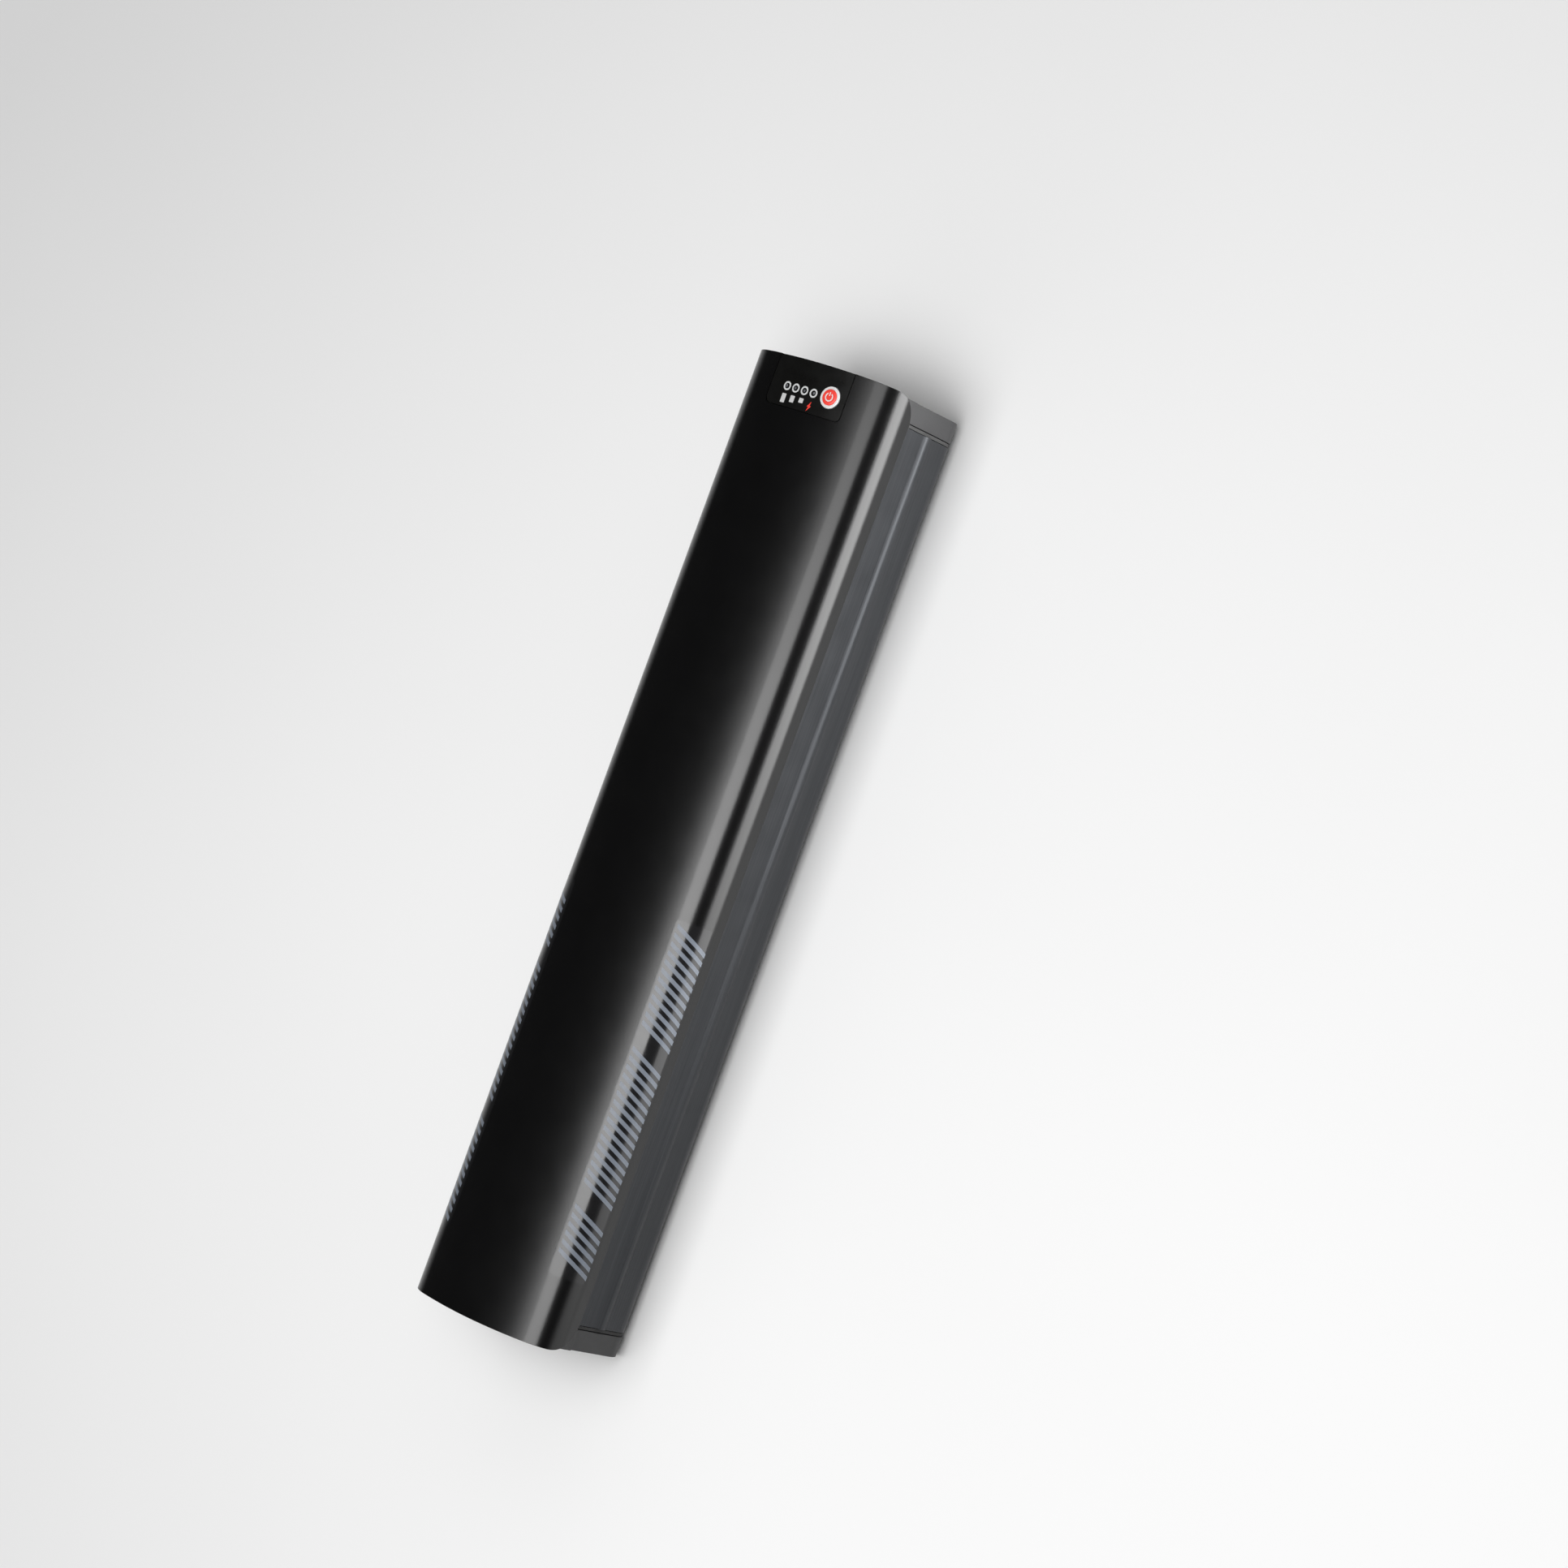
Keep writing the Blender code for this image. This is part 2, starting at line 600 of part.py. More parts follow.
def make_cradle(name, half_width, corner, low, high, heights):
    """A moulded cradle: a long block with a round trough for every run of cells it holds."""
    length = CELLS_LONG * (CELL_LENGTH + CELL_GAP)
    spare_top = high + corner
    outline = rounded([(-half_width, low, corner), (half_width, low, corner),
                       (half_width, spare_top, 0), (-half_width, spare_top, 0)], 5)
    cradle = prism(name, [outline], length, ACROSS, (0, 0, 0))
    if corner:
        above = (length + CELL_GAP, 3 * half_width, 2 * corner)
        cut(cradle, block("cradle_trim", above, (0, 0, high + corner)))
    for y, z in cell_axes(heights):
        cut(cradle, rod("cell_trough", CELL_RADIUS + GAP, LENGTH, ACROSS, (0, y, z), 24))
    return finish(cradle, "cradle_white")


def make_cradles():
    """The three cradles: under the lower cells, between the layers and over the upper cells."""
    first, second = CELL_HEIGHTS
    floor = CASE_WALL + GAP
    make_cradle("lower_cradle", CASE_HALF_WIDTH - floor, CASE_CORNER - floor, floor,
                first - CRADLE_REACH, [first])
    make_cradle("middle_cradle", CRADLE_HALF_WIDTH, 0, first + CRADLE_REACH,
                second - CRADLE_REACH, CELL_HEIGHTS)
    make_cradle("upper_cradle", CRADLE_HALF_WIDTH, 0, second + CRADLE_REACH, CRADLE_TOP, [second])


def make_protection_board():
    """The long circuit board over the cells, with its heat sink, fuse and capacitors."""
    length, width, thick = BOARD_SIZE
    base = CRADLE_TOP + GAP
    board = block("protection_board", (length, width, thick), (0, 0, base + thick / 2))
    for name, size, x, y in BOARD_BLOCKS:
        add(board, block(name, size, (x, y, base + thick / 2 + size[2] / 2)))
    for index in range(3):
        x = CAPACITOR_X + index * CAPACITOR_PITCH
        add(board, rod("capacitor", CAPACITOR_RADIUS, CAPACITOR_HEIGHT, FLAT,
                       (x, 0, base + thick / 2 + CAPACITOR_HEIGHT / 2), 12))
    return finish(board, "board_green")


# --- indicator panel ----------------------------------------------------------------------

def panel_band(name, outer, inner, margin):
    """The crown between two depths, trimmed to the panel's outline grown by margin."""
    angle = math.asin((PANEL_HALF_WIDTH + 3 * MM) / CROWN_RADIUS)
    start, end = math.pi / 2 - angle, math.pi / 2 + angle
    band = arc((0, CROWN_CENTRE), CROWN_RADIUS - outer, start, end, 12)
    band += arc((0, CROWN_CENTRE), CROWN_RADIUS - inner, end, start, 12)
    strip = prism(name, [band], 3 * PANEL_LENGTH, ACROSS, (LENGTH / 2, 0, 0))
    plan = prism(name + "_plan", [panel_outline(margin)], 2 * HALF_WIDTH, FLAT, (0, 0, HEIGHT))
    return keep(strip, plan)


def button_rod(name, radius):
    """A long cylinder on the button's axis that cuts through panel and cover."""
    return rod(name, radius, 4 * COVER_WALL + 4 * PANEL_THICKNESS, TILT, button_point(0), 24)


def button_point(height):
    """A point on the button's axis, at a height over the crown."""
    surface = Vector((BUTTON_X, BUTTON_Y, CROWN_CENTRE + CROWN_RADIUS * math.cos(BUTTON_TILT)))
    return surface + TILT.to_3x3() @ Vector((0, 0, height))


def lamp_places():
    return [FIRST_LAMP_Y - index * LAMP_PITCH for index in range(4)]


def lamp_slot():
    """The slot in the cover that the light guide's four posts rise through."""
    places = lamp_places()
    middle = (places[0] + places[-1]) / 2
    size = (SLOT_WIDTH, places[0] - places[-1] + SLOT_WIDTH)
    outline = rectangle((LAMP_X, middle), size, SLOT_WIDTH / 3)
    return prism("lamp_slot", [outline], 4 * COVER_WALL, FLAT, (0, 0, HEIGHT - COVER_WALL))


def make_indicator_panel():
    """The curved panel plate with its button hole and four lamp windows."""
    panel = bevel(panel_band("indicator_panel", 0, PANEL_THICKNESS, 0), PANEL_EDGE)
    cut(panel, button_rod("panel_button_hole", BUTTON_RADIUS + GAP))
    for y in lamp_places():
        cut(panel, rod("lamp_window", LAMP_RADIUS, 10 * MM, FLAT, (LAMP_X, y, HEIGHT), 12))
    return finish(panel, "panel_charcoal")


def make_light_guide():
    """A clear bar under the cover with a post that reaches up into each lamp window."""
    places = lamp_places()
    length = places[0] - places[-1] + GUIDE_WIDTH
    middle = (places[0] + places[-1]) / 2
    guide = block("light_guide", (GUIDE_WIDTH, length, GUIDE_THICKNESS),
                  (LAMP_X, middle, GUIDE_TOP - GUIDE_THICKNESS / 2))
    for y in places:
        top = CROWN_CENTRE + math.sqrt(CROWN_RADIUS ** 2 - y ** 2) - LAMP_SINK
        bottom = GUIDE_TOP - GUIDE_THICKNESS / 2
        add(guide, rod("guide_post", LAMP_RADIUS - GAP, top - bottom, FLAT,
                       (LAMP_X, y, (top + bottom) / 2), 10))
    return finish(guide, "lamp_clear")


def make_power_button():
    """The round button: a raised disc in a lower ring, a stem and a keeping flange."""
    outer = BUTTON_RADIUS
    profile = [(0, DISC_HEIGHT), (DISC_RADIUS - BUTTON_EDGE, DISC_HEIGHT),
               (DISC_RADIUS, DISC_HEIGHT - BUTTON_EDGE), (DISC_RADIUS, RING_HEIGHT),
               (outer - BUTTON_EDGE, RING_HEIGHT), (outer, RING_HEIGHT - BUTTON_EDGE),
               (outer, FLANGE_TOP), (outer + BUTTON_FLANGE, FLANGE_TOP),
               (outer + BUTTON_FLANGE, FLANGE_BOTTOM), (0, FLANGE_BOTTOM)]
    return finish(turned("power_button", profile, TILT, button_point(0), 24), "button_red")


def make_switch_plunger():
    """The plunger of the tactile switch, which the button's stem presses."""
    top = FLANGE_BOTTOM - GAP
    bottom = top - PLUNGER_LENGTH
    profile = [(0, top), (PLUNGER_RADIUS - 0.3 * MM, top), (PLUNGER_RADIUS, top - 0.3 * MM),
               (PLUNGER_RADIUS, bottom), (0, bottom)]
    return finish(turned("switch_plunger", profile, TILT, button_point(0), 12), "switch_grey")


def make_indicator_board():
    """The small circuit board under the panel, with the body of the tactile switch on it."""
    board = block("indicator_board", (PANEL_BOARD_LENGTH, PANEL_BOARD_WIDTH, PANEL_BOARD_THICKNESS),
                  (LAMP_X, 0, BOARD_TOP - PANEL_BOARD_THICKNESS / 2))
    place = button_point(SWITCH_TOP)
    height = place.z - BOARD_TOP + 2 * GAP
    body = block("switch_body", (SWITCH_SIDE, SWITCH_SIDE, height),
                 button_point(SWITCH_TOP - height / 2), TILT)
    add(board, body)
    well = FLANGE_BOTTOM - GAP - PLUNGER_LENGTH - BUTTON_TRAVEL - GAP
    depth = SWITCH_TOP - well
    cut(board, rod("switch_well", PLUNGER_RADIUS + GAP, 2 * depth, TILT,
                   button_point(SWITCH_TOP), 12))
    return finish(board, "board_green")


# --- sockets, strike and flap -------------------------------------------------------------

def make_discharge_socket():
    """The keyed socket in the plug end, with a slot in its back wall for each contact."""
    centre = (0, SOCKET_HEIGHT)
    body = prism("discharge_socket", [rectangle(centre, SOCKET_SIZE, SOCKET_CORNER)],
                 SOCKET_DEPTH, ACROSS, (SOCKET_DEPTH / 2 - CAP_OUTER, 0, 0))
    flange = prism("socket_flange", [rectangle(centre, grown(SOCKET_SIZE, SOCKET_FLANGE), SOCKET_CORNER)],
                   SOCKET_FLANGE, ACROSS, (SOCKET_FLANGE / 2 - CAP_OUTER, 0, 0))
    add(body, flange)
    half_y, half_z = (side / 2 - SOCKET_WALL for side in SOCKET_SIZE)
    key = SOCKET_KEY
    cavity = rounded([(-half_y, SOCKET_HEIGHT - half_z, MM), (half_y, SOCKET_HEIGHT - half_z, MM),
                      (half_y, SOCKET_HEIGHT + half_z - key, MM),
                      (half_y - key, SOCKET_HEIGHT + half_z, MM),
                      (key - half_y, SOCKET_HEIGHT + half_z, MM),
                      (-half_y, SOCKET_HEIGHT + half_z - key, MM)], 2)
    cut(body, end_pocket("socket_cavity", -1, cavity, SOCKET_DEPTH - SOCKET_WALL))
    for name, y, height in CONTACTS:
        slot = (4 * SOCKET_WALL, CONTACT_THICKNESS + 2 * GAP, height + 2 * GAP)
        cut(body, block(name + "_slot", slot, (SOCKET_DEPTH - CAP_OUTER, y, SOCKET_HEIGHT)))
    return finish(body, "socket_black")


def make_contacts():
    """Two power blades and one signal blade, standing in the discharge socket."""
    middle = CONTACT_SETBACK + CONTACT_LENGTH / 2 - CAP_OUTER
    for name, y, height in CONTACTS:
        contact = block(name, (CONTACT_LENGTH, CONTACT_THICKNESS, height), (middle, y, SOCKET_HEIGHT))
        finish(bevel(contact, CONTACT_THICKNESS / 4), "contact_brass")


def make_charge_socket():
    """The round charging socket: a blind bore in a flanged barrel."""
    floor = -CHARGE_DEPTH + SOCKET_WALL
    profile = [(0, floor), (CHARGE_BORE, floor), (CHARGE_BORE, 0), (CHARGE_FLANGE, 0),
               (CHARGE_FLANGE, -FLANGE_THICKNESS), (CHARGE_RADIUS, -FLANGE_THICKNESS),
               (CHARGE_RADIUS, -CHARGE_DEPTH), (0, -CHARGE_DEPTH)]
    place = (CAP_OUTER - FLAP_POCKET, *CHARGE_CENTRE)
    return finish(turned("charge_socket", profile, ACROSS, place, 20), "socket_black")


def make_charge_flap():
    """The rubber flap over the charging socket, which swings on its upper edge."""
    y, z = CHARGE_CENTRE
    hinge = (FLAP_MIDDLE, y, z + HINGE_ABOVE)
    half = FLAP_HALF_WIDTH
    low = -HINGE_ABOVE - FLAP_BELOW
    outline = rounded([(-half, low, 3 * MM), (half, low, 3 * MM), (half, 0, 0), (-half, 0, 0)], 4)
    flap = prism("charge_flap", [outline], FLAP_THICKNESS, ACROSS, hinge)
    roll = rod("flap_roll", FLAP_THICKNESS / 2, 2 * half, ALONG, hinge, 12)
    depth = PLUG_DEPTH + FLAP_THICKNESS / 2
    plug = rod("flap_plug", PLUG_RADIUS, depth, ACROSS, (FLAP_MIDDLE - depth / 2, y, z), 16)
    tab = block("flap_tab", (TAB_STAND + FLAP_THICKNESS / 2, half, TAB_HEIGHT),
                (FLAP_MIDDLE + (TAB_STAND + FLAP_THICKNESS / 2) / 2, y, z - FLAP_BELOW + TAB_HEIGHT))
    add(flap, roll, plug, tab)
    return finish(flap, "seal_rubber")


def make_lock_strike():
    """The steel plate that the frame's lock bolt enters."""
    loops = [rectangle(STRIKE_CENTRE, STRIKE_SIZE, STRIKE_CORNER),
             rectangle(STRIKE_CENTRE, STRIKE_WINDOW, STRIKE_CORNER / 2)]
    strike = prism("lock_strike", loops, STRIKE_THICKNESS, ACROSS,
                   (CAP_OUTER - STRIKE_THICKNESS / 2, 0, 0))
    return finish(strike, "strike_steel")


make_top_cover()
make_lower_case()
make_lower_end_cap()
make_upper_end_cap()
make_gasket("lower_gasket", -1)
make_gasket("upper_gasket", 1)
make_screws()
make_cells()
make_cradles()
make_protection_board()
make_indicator_panel()
make_light_guide()
make_power_button()
make_switch_plunger()
make_indicator_board()
make_discharge_socket()
make_contacts()
make_charge_socket()
make_charge_flap()
make_lock_strike()
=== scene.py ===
"""Looks of a down-tube battery pack: finishes, printed marks and soft studio light.

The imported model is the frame.  The cover, the indicator panel, the button and the lamp windows are
rebuilt here with finer curves around the same sizes; every other piece keeps its own solid.
"""
import math

import bmesh
import bpy
from mathutils import Matrix, Vector


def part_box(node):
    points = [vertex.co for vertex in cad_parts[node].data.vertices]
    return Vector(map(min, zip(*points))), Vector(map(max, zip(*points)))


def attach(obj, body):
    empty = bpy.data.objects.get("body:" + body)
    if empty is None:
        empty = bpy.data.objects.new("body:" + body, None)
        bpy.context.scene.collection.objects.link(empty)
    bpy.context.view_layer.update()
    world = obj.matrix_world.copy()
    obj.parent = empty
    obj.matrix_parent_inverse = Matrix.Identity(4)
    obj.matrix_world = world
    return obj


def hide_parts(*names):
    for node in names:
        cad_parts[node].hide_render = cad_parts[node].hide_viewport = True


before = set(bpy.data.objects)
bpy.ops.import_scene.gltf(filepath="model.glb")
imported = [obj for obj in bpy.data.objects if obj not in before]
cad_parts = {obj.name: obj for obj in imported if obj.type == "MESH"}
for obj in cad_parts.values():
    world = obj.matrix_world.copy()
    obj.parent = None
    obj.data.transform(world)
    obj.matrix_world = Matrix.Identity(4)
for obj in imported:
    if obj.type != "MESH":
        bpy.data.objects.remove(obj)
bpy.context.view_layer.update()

MM = 0.001
CROWN_RADIUS = 120 * MM
SHOULDER_RADIUS = 13 * MM
COVER_WALL = 2.4 * MM
SKIRT_CORNER = 12 * MM
END_BOW = 1 * MM
EDGE_ROUND = 0.8 * MM
PANEL_CORNERS = (3 * MM, 2 * MM)
PANEL_GAP = 0.3 * MM
RECESS_DEPTH = 1.3 * MM
PANEL_THICKNESS = 1 * MM
PANEL_EDGE_ROUND = 0.22 * MM
MOUTH_CLEARANCE = 0.4 * MM
SHARP_EDGE = math.radians(40)

cover_low, cover_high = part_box("top_cover")
HALF_LENGTH = cover_high.x
HALF_WIDTH = cover_high.y
TOP = cover_high.z
SKIRT_LOW = cover_low.z
SHOULDER_ANGLE = math.asin((HALF_WIDTH - SHOULDER_RADIUS) / (CROWN_RADIUS - SHOULDER_RADIUS))
CROWN_CENTRE = TOP - CROWN_RADIUS
SIDE_END = HALF_LENGTH - END_BOW
BOW_REACH = 5 * MM


# --- finishes -----------------------------------------------------------------------------

class Finish:
    """A material under construction: a Principled shader and the nodes that feed it."""

    def __init__(self, name, colour, roughness, metallic=0.0, **sockets):
        self.material = bpy.data.materials.new(name)
        self.material.use_nodes = True
        self.tree = self.material.node_tree
        self.shader = self.tree.nodes["Principled BSDF"]
        self.shader.inputs["Base Color"].default_value = (*colour, 1)
        self.shader.inputs["Roughness"].default_value = roughness
        self.shader.inputs["Metallic"].default_value = metallic
        for socket, value in sockets.items():
            self.shader.inputs[socket.replace("_", " ")].default_value = value
        self.colour = colour
        self.roughness = roughness
        self.height = None

    def node(self, kind, **inputs):
        """Add a node; each input takes a number or another node's socket."""
        made = self.tree.nodes.new(kind)
        for name, value in inputs.items():
            socket = made.inputs[name.replace("_", " ")]
            if isinstance(value, bpy.types.NodeSocket):
                self.tree.links.new(value, socket)
            else:
                socket.default_value = value
        return made

    def place(self, stretch=(1, 1, 1)):
        """Object coordinates in metres, stretched along the axes."""
        coordinates = self.tree.nodes.new("ShaderNodeTexCoord").outputs["Object"]
        mapping = self.node("ShaderNodeMapping", Vector=coordinates, Scale=stretch)
        return mapping.outputs["Vector"]

    def noise(self, size, detail=2.0, stretch=(1, 1, 1)):
        """Noise whose patches are about size metres across, around one half."""
        made = self.node("ShaderNodeTexNoise", Vector=self.place(stretch), Scale=1 / size,
                         Detail=detail)
        return made.outputs["Fac"]

    def remap(self, source, low, high, start=0.3, stop=0.7):
        """Run from low to high as the source goes from start to stop."""
        made = self.node("ShaderNodeMapRange", Value=source, From_Min=start, From_Max=stop,
                         To_Min=low, To_Max=high)
        return made.outputs["Result"]

    def vary_roughness(self, source, spread, start=0.3, stop=0.7):
        """Let the roughness wander by spread to both sides of its middle value."""
        value = self.remap(source, self.roughness - spread, self.roughness + spread, start, stop)
        self.tree.links.new(value, self.shader.inputs["Roughness"])

    def vary_colour(self, source, other, start=0.3, stop=0.7):
        """Blend the base colour towards another one as the source rises."""
        mix = self.tree.nodes.new("ShaderNodeMix")
        mix.data_type = "RGBA"
        self.tree.links.new(self.remap(source, 0, 1, start, stop), mix.inputs["Factor"])
        mix.inputs["A"].default_value = (*self.colour, 1)
        mix.inputs["B"].default_value = (*other, 1)
        self.tree.links.new(mix.outputs["Result"], self.shader.inputs["Base Color"])

    def bump(self, source, depth):
        """Add a relief whose full swing is depth metres."""
        made = self.node("ShaderNodeBump", Height=source, Distance=depth, Strength=1.0)
        if self.height is not None:
            self.tree.links.new(self.height, made.inputs["Normal"])
        self.height = made.outputs["Normal"]
        self.tree.links.new(self.height, self.shader.inputs["Normal"])


def satin_paint():
    """Black satin paint on moulded plastic: a soft sheen over a fine orange peel."""
    made = Finish("satin_black_paint", (0.0015, 0.0015, 0.0016), 0.23)
    made.vary_roughness(made.noise(9 * MM, 3), 0.01)
    made.vary_colour(made.noise(25 * MM, 2), (0.002, 0.002, 0.0021))
    made.bump(made.noise(0.85 * MM, 1), 0.008 * MM)
    made.bump(made.noise(0.3 * MM, 1), 0.002 * MM)
    return made.material


def moulded_plastic(name, colour, roughness, grain=0.25 * MM, depth=0.02 * MM, shine=0.5):
    """Moulded plastic with a spark-eroded grain."""
    made = Finish(name, colour, roughness, Specular_IOR_Level=shine)
    lighter = tuple(channel * 1.35 + 0.002 for channel in colour)
    made.vary_colour(made.noise(grain, 3), lighter)
    made.vary_roughness(made.noise(6 * MM, 3), 0.05)
    made.bump(made.noise(grain, 3), depth)
    return made.material


def anodised_aluminium():
    """Dark grey anodised extrusion with faint die lines along its length."""
    made = Finish("anodised_aluminium", (0.032, 0.034, 0.037), 0.4, 0.85)
    lines = made.noise(0.35 * MM, 4, (0.006, 1, 1))
    made.vary_colour(lines, (0.048, 0.05, 0.054))
    made.vary_roughness(made.noise(12 * MM, 3), 0.05)
    made.bump(lines, 0.008 * MM)
    made.bump(made.noise(0.15 * MM, 2), 0.004 * MM)
    return made.material


def bare_metal(name, colour, roughness, stretch=(1, 1, 1)):
    """Plated or oxidised metal with fine working marks."""
    made = Finish(name, colour, roughness, 1.0)
    marks = made.noise(0.2 * MM, 4, stretch)
    made.vary_colour(made.noise(2.5 * MM, 3), tuple(channel * 0.8 for channel in colour))
    made.vary_roughness(marks, 0.06)
    made.bump(marks, 0.006 * MM)
    return made.material


def print_ink(name, colour, roughness=0.45):
    """Screen-printed ink: even, with a faint mesh in its surface."""
    made = Finish(name, colour, roughness)
    made.vary_colour(made.noise(0.35 * MM, 2), tuple(channel * 0.86 for channel in colour))
    made.bump(made.noise(0.2 * MM, 2), 0.004 * MM)
    return made.material


def lamp_plastic():
    """Smoked, frosted lamp window, paler in small random patches."""
    made = Finish("lamp_window_plastic", (0.05, 0.053, 0.06), 0.3)
    made.vary_colour(made.noise(0.7 * MM, 2), (0.16, 0.165, 0.18))
    made.bump(made.noise(0.25 * MM, 2), 0.01 * MM)
    return made.material


def clear_film():
    """The thin clear film that carries the printed bars."""
    made = Finish("clear_film", (0.0075, 0.0075, 0.008), 0.17)
    made.vary_roughness(made.noise(7 * MM, 2), 0.03)
    made.bump(made.noise(0.9 * MM, 1), 0.006 * MM)
    return made.material


# --- outlines and solids ------------------------------------------------------------------

def arc(centre, radius, start, end, steps):
    """Points along an arc, angles in radians, both ends included."""
    angles = [start + (end - start) * step / steps for step in range(steps + 1)]
    return [(centre[0] + radius * math.cos(a), centre[1] + radius * math.sin(a)) for a in angles]


def rounded(corners, steps):
    """A closed outline from (x, y, radius) corners, with each rounded corner as an arc."""
    outline = []
    for index, (x, y, radius) in enumerate(corners):
        if radius == 0:
            outline.append((x, y))
            continue
        corner = Vector((x, y))
        before = (Vector(corners[index - 1][:2]) - corner).normalized()
        after = (Vector(corners[(index + 1) % len(corners)][:2]) - corner).normalized()
        half = before.angle(after) / 2
        centre = corner + (before + after).normalized() * radius / math.sin(half)
        first = corner + before * radius / math.tan(half) - centre
        last = corner + after * radius / math.tan(half) - centre
        start = math.atan2(first.y, first.x)
        turn = math.remainder(math.atan2(last.y, last.x) - start, 2 * math.pi)
        outline += arc(centre, radius, start, start + turn, steps)
    return outline


def add_mesh(name, work):
    """Turn a bmesh into an object with its faces pointing out."""
    bmesh.ops.recalc_face_normals(work, faces=work.faces)
    mesh = bpy.data.meshes.new(name)
    work.to_mesh(mesh)
    work.free()
    item = bpy.data.objects.new(name, mesh)
    bpy.context.scene.collection.objects.link(item)
    return item


def prism(name, outline, low, high, lay):
    """A solid between two depths of an outline; lay turns (u, v, depth) into a point."""
    work = bmesh.new()
    rings = [[work.verts.new(lay(u, v, depth)) for u, v in outline] for depth in (low, high)]
    work.faces.new(rings[0])
    work.faces.new(rings[1])
    count = len(outline)
    for index in range(count):
        following = (index + 1) % count
        work.faces.new((rings[0][index], rings[0][following],
                        rings[1][following], rings[1][index]))
    return add_mesh(name, work)


def across(y, z, x):
    """Lays an outline in (y, z), with its depth along x."""
    return Vector((x, y, z))


def along(x, z, y):
    """Lays an outline in (x, z), with its depth along y."""
    return Vector((x, y, z))


def flat(x, y, z):
    """Lays an outline in (x, y), with its depth along z."""
    return Vector((x, y, z))


def cylinder(name, radius, start, end, sides):
    """A cylinder between two points."""
    axis = end - start
    work = bmesh.new()
    bmesh.ops.create_cone(work, cap_ends=True, segments=sides, radius1=radius, radius2=radius,
                          depth=axis.length)
    turn = axis.to_track_quat("Z", "Y").to_matrix().to_4x4()
    work.transform(Matrix.Translation((start + end) / 2) @ turn)
    return add_mesh(name, work)


def shape(item, *steps):
    """Apply Boolean and Bevel steps in order: (operation, tool) or ("BEVEL", width, segments)."""
    tools = []
    for step in steps:
        if step[0] == "BEVEL":
            modifier = item.modifiers.new("Bevel", "BEVEL")
            modifier.width, modifier.segments = step[1:]
            modifier.limit_method = "ANGLE"
            modifier.angle_limit = SHARP_EDGE
            continue
        modifier = item.modifiers.new("Boolean", "BOOLEAN")
        modifier.operation, modifier.object = step
        modifier.solver = "EXACT"
        tools.append(step[1])
    bpy.context.view_layer.update()
    graph = bpy.context.evaluated_depsgraph_get()
    mesh = bpy.data.meshes.new_from_object(item.evaluated_get(graph))
    item.modifiers.clear()
    item.data = mesh
    for tool in tools:
        bpy.data.objects.remove(tool, do_unlink=True)
    return item


def smooth(item, angle=30):
    """Smooth shading with sharp corners, weighted so that flat faces stay flat."""
    item.data.shade_smooth()
    item.data.set_sharp_from_angle(angle=math.radians(angle))
    item.modifiers.new("Weighted normals", "WEIGHTED_NORMAL").keep_sharp = True
    return item


def smooth_shading():
    """A node group that shades whatever mesh it is given smooth."""
    group = bpy.data.node_groups.new("smooth_shading", "GeometryNodeTree")
    for way in ("INPUT", "OUTPUT"):
        group.interface.new_socket("Geometry", in_out=way, socket_type="NodeSocketGeometry")
    shade = group.nodes.new("GeometryNodeSetShadeSmooth")
    group.links.new(group.nodes.new("NodeGroupInput").outputs["Geometry"],
                    shade.inputs["Geometry"])
    group.links.new(shade.outputs["Geometry"],
                    group.nodes.new("NodeGroupOutput").inputs["Geometry"])
    return group


def soften_node(name, width, shading):
    """Round the edges of a CAD node's solid with modifiers; its own mesh stays as it is."""
    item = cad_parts[name]
    item.modifiers.new("Joined faces", "WELD").merge_threshold = 0.002 * MM
    item.modifiers.new("Smooth shading", "NODES").node_group = shading
    bevel = item.modifiers.new("Edges", "BEVEL")
    bevel.width = width
    bevel.segments = 2
    bevel.limit_method = "ANGLE"
    bevel.angle_limit = SHARP_EDGE
    item.modifiers.new("Weighted normals", "WEIGHTED_NORMAL").keep_sharp = True


def dress(item, material):
    """Give a new piece its one material."""
    item.data.materials.clear()
    item.data.materials.append(material)
    return item


def dress_node(name, material):
    """Give a CAD node a better material in its object's slots."""
    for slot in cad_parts[name].material_slots:
        slot.material = material


def mount(item, body, slot, *replaced):
    """A new piece rides on a body and stands for CAD nodes, which it hides; its slot is not used."""
    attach(item, body)
    if replaced:
        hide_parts(*replaced)


# --- the cover ----------------------------------------------------------------------------

def crown_height(y):
    """The height of the crown's surface at a distance from the middle."""
    return CROWN_CENTRE + math.sqrt(CROWN_RADIUS ** 2 - y ** 2)


def crown_outline(inset, bottom, shoulder_steps=26, crown_steps=44):
    """The cover's cross-section in (y, z): skirts, shoulders and crown, moved in by inset."""
    offset = CROWN_RADIUS - SHOULDER_RADIUS
    centre = (offset * math.sin(SHOULDER_ANGLE), CROWN_CENTRE + offset * math.cos(SHOULDER_ANGLE))
    top = math.pi / 2 - SHOULDER_ANGLE
    right = [(HALF_WIDTH - inset, bottom)]
    right += arc(centre, SHOULDER_RADIUS - inset, 0, top, shoulder_steps)
    crown = arc((0, CROWN_CENTRE), CROWN_RADIUS - inset, top, math.pi - top, crown_steps)
    return right + crown[1:-1] + [(-y, z) for y, z in reversed(right)]


def end_line(right, left, offset=0.0, steps=40):
    """The cover's bowed end seen from above in (x, y), from one side to the other."""
    places = [right + (left - right) * step / steps for step in range(steps + 1)]
    return [(HALF_LENGTH - END_BOW * (y / HALF_WIDTH) ** 2 + offset, y) for y in places]


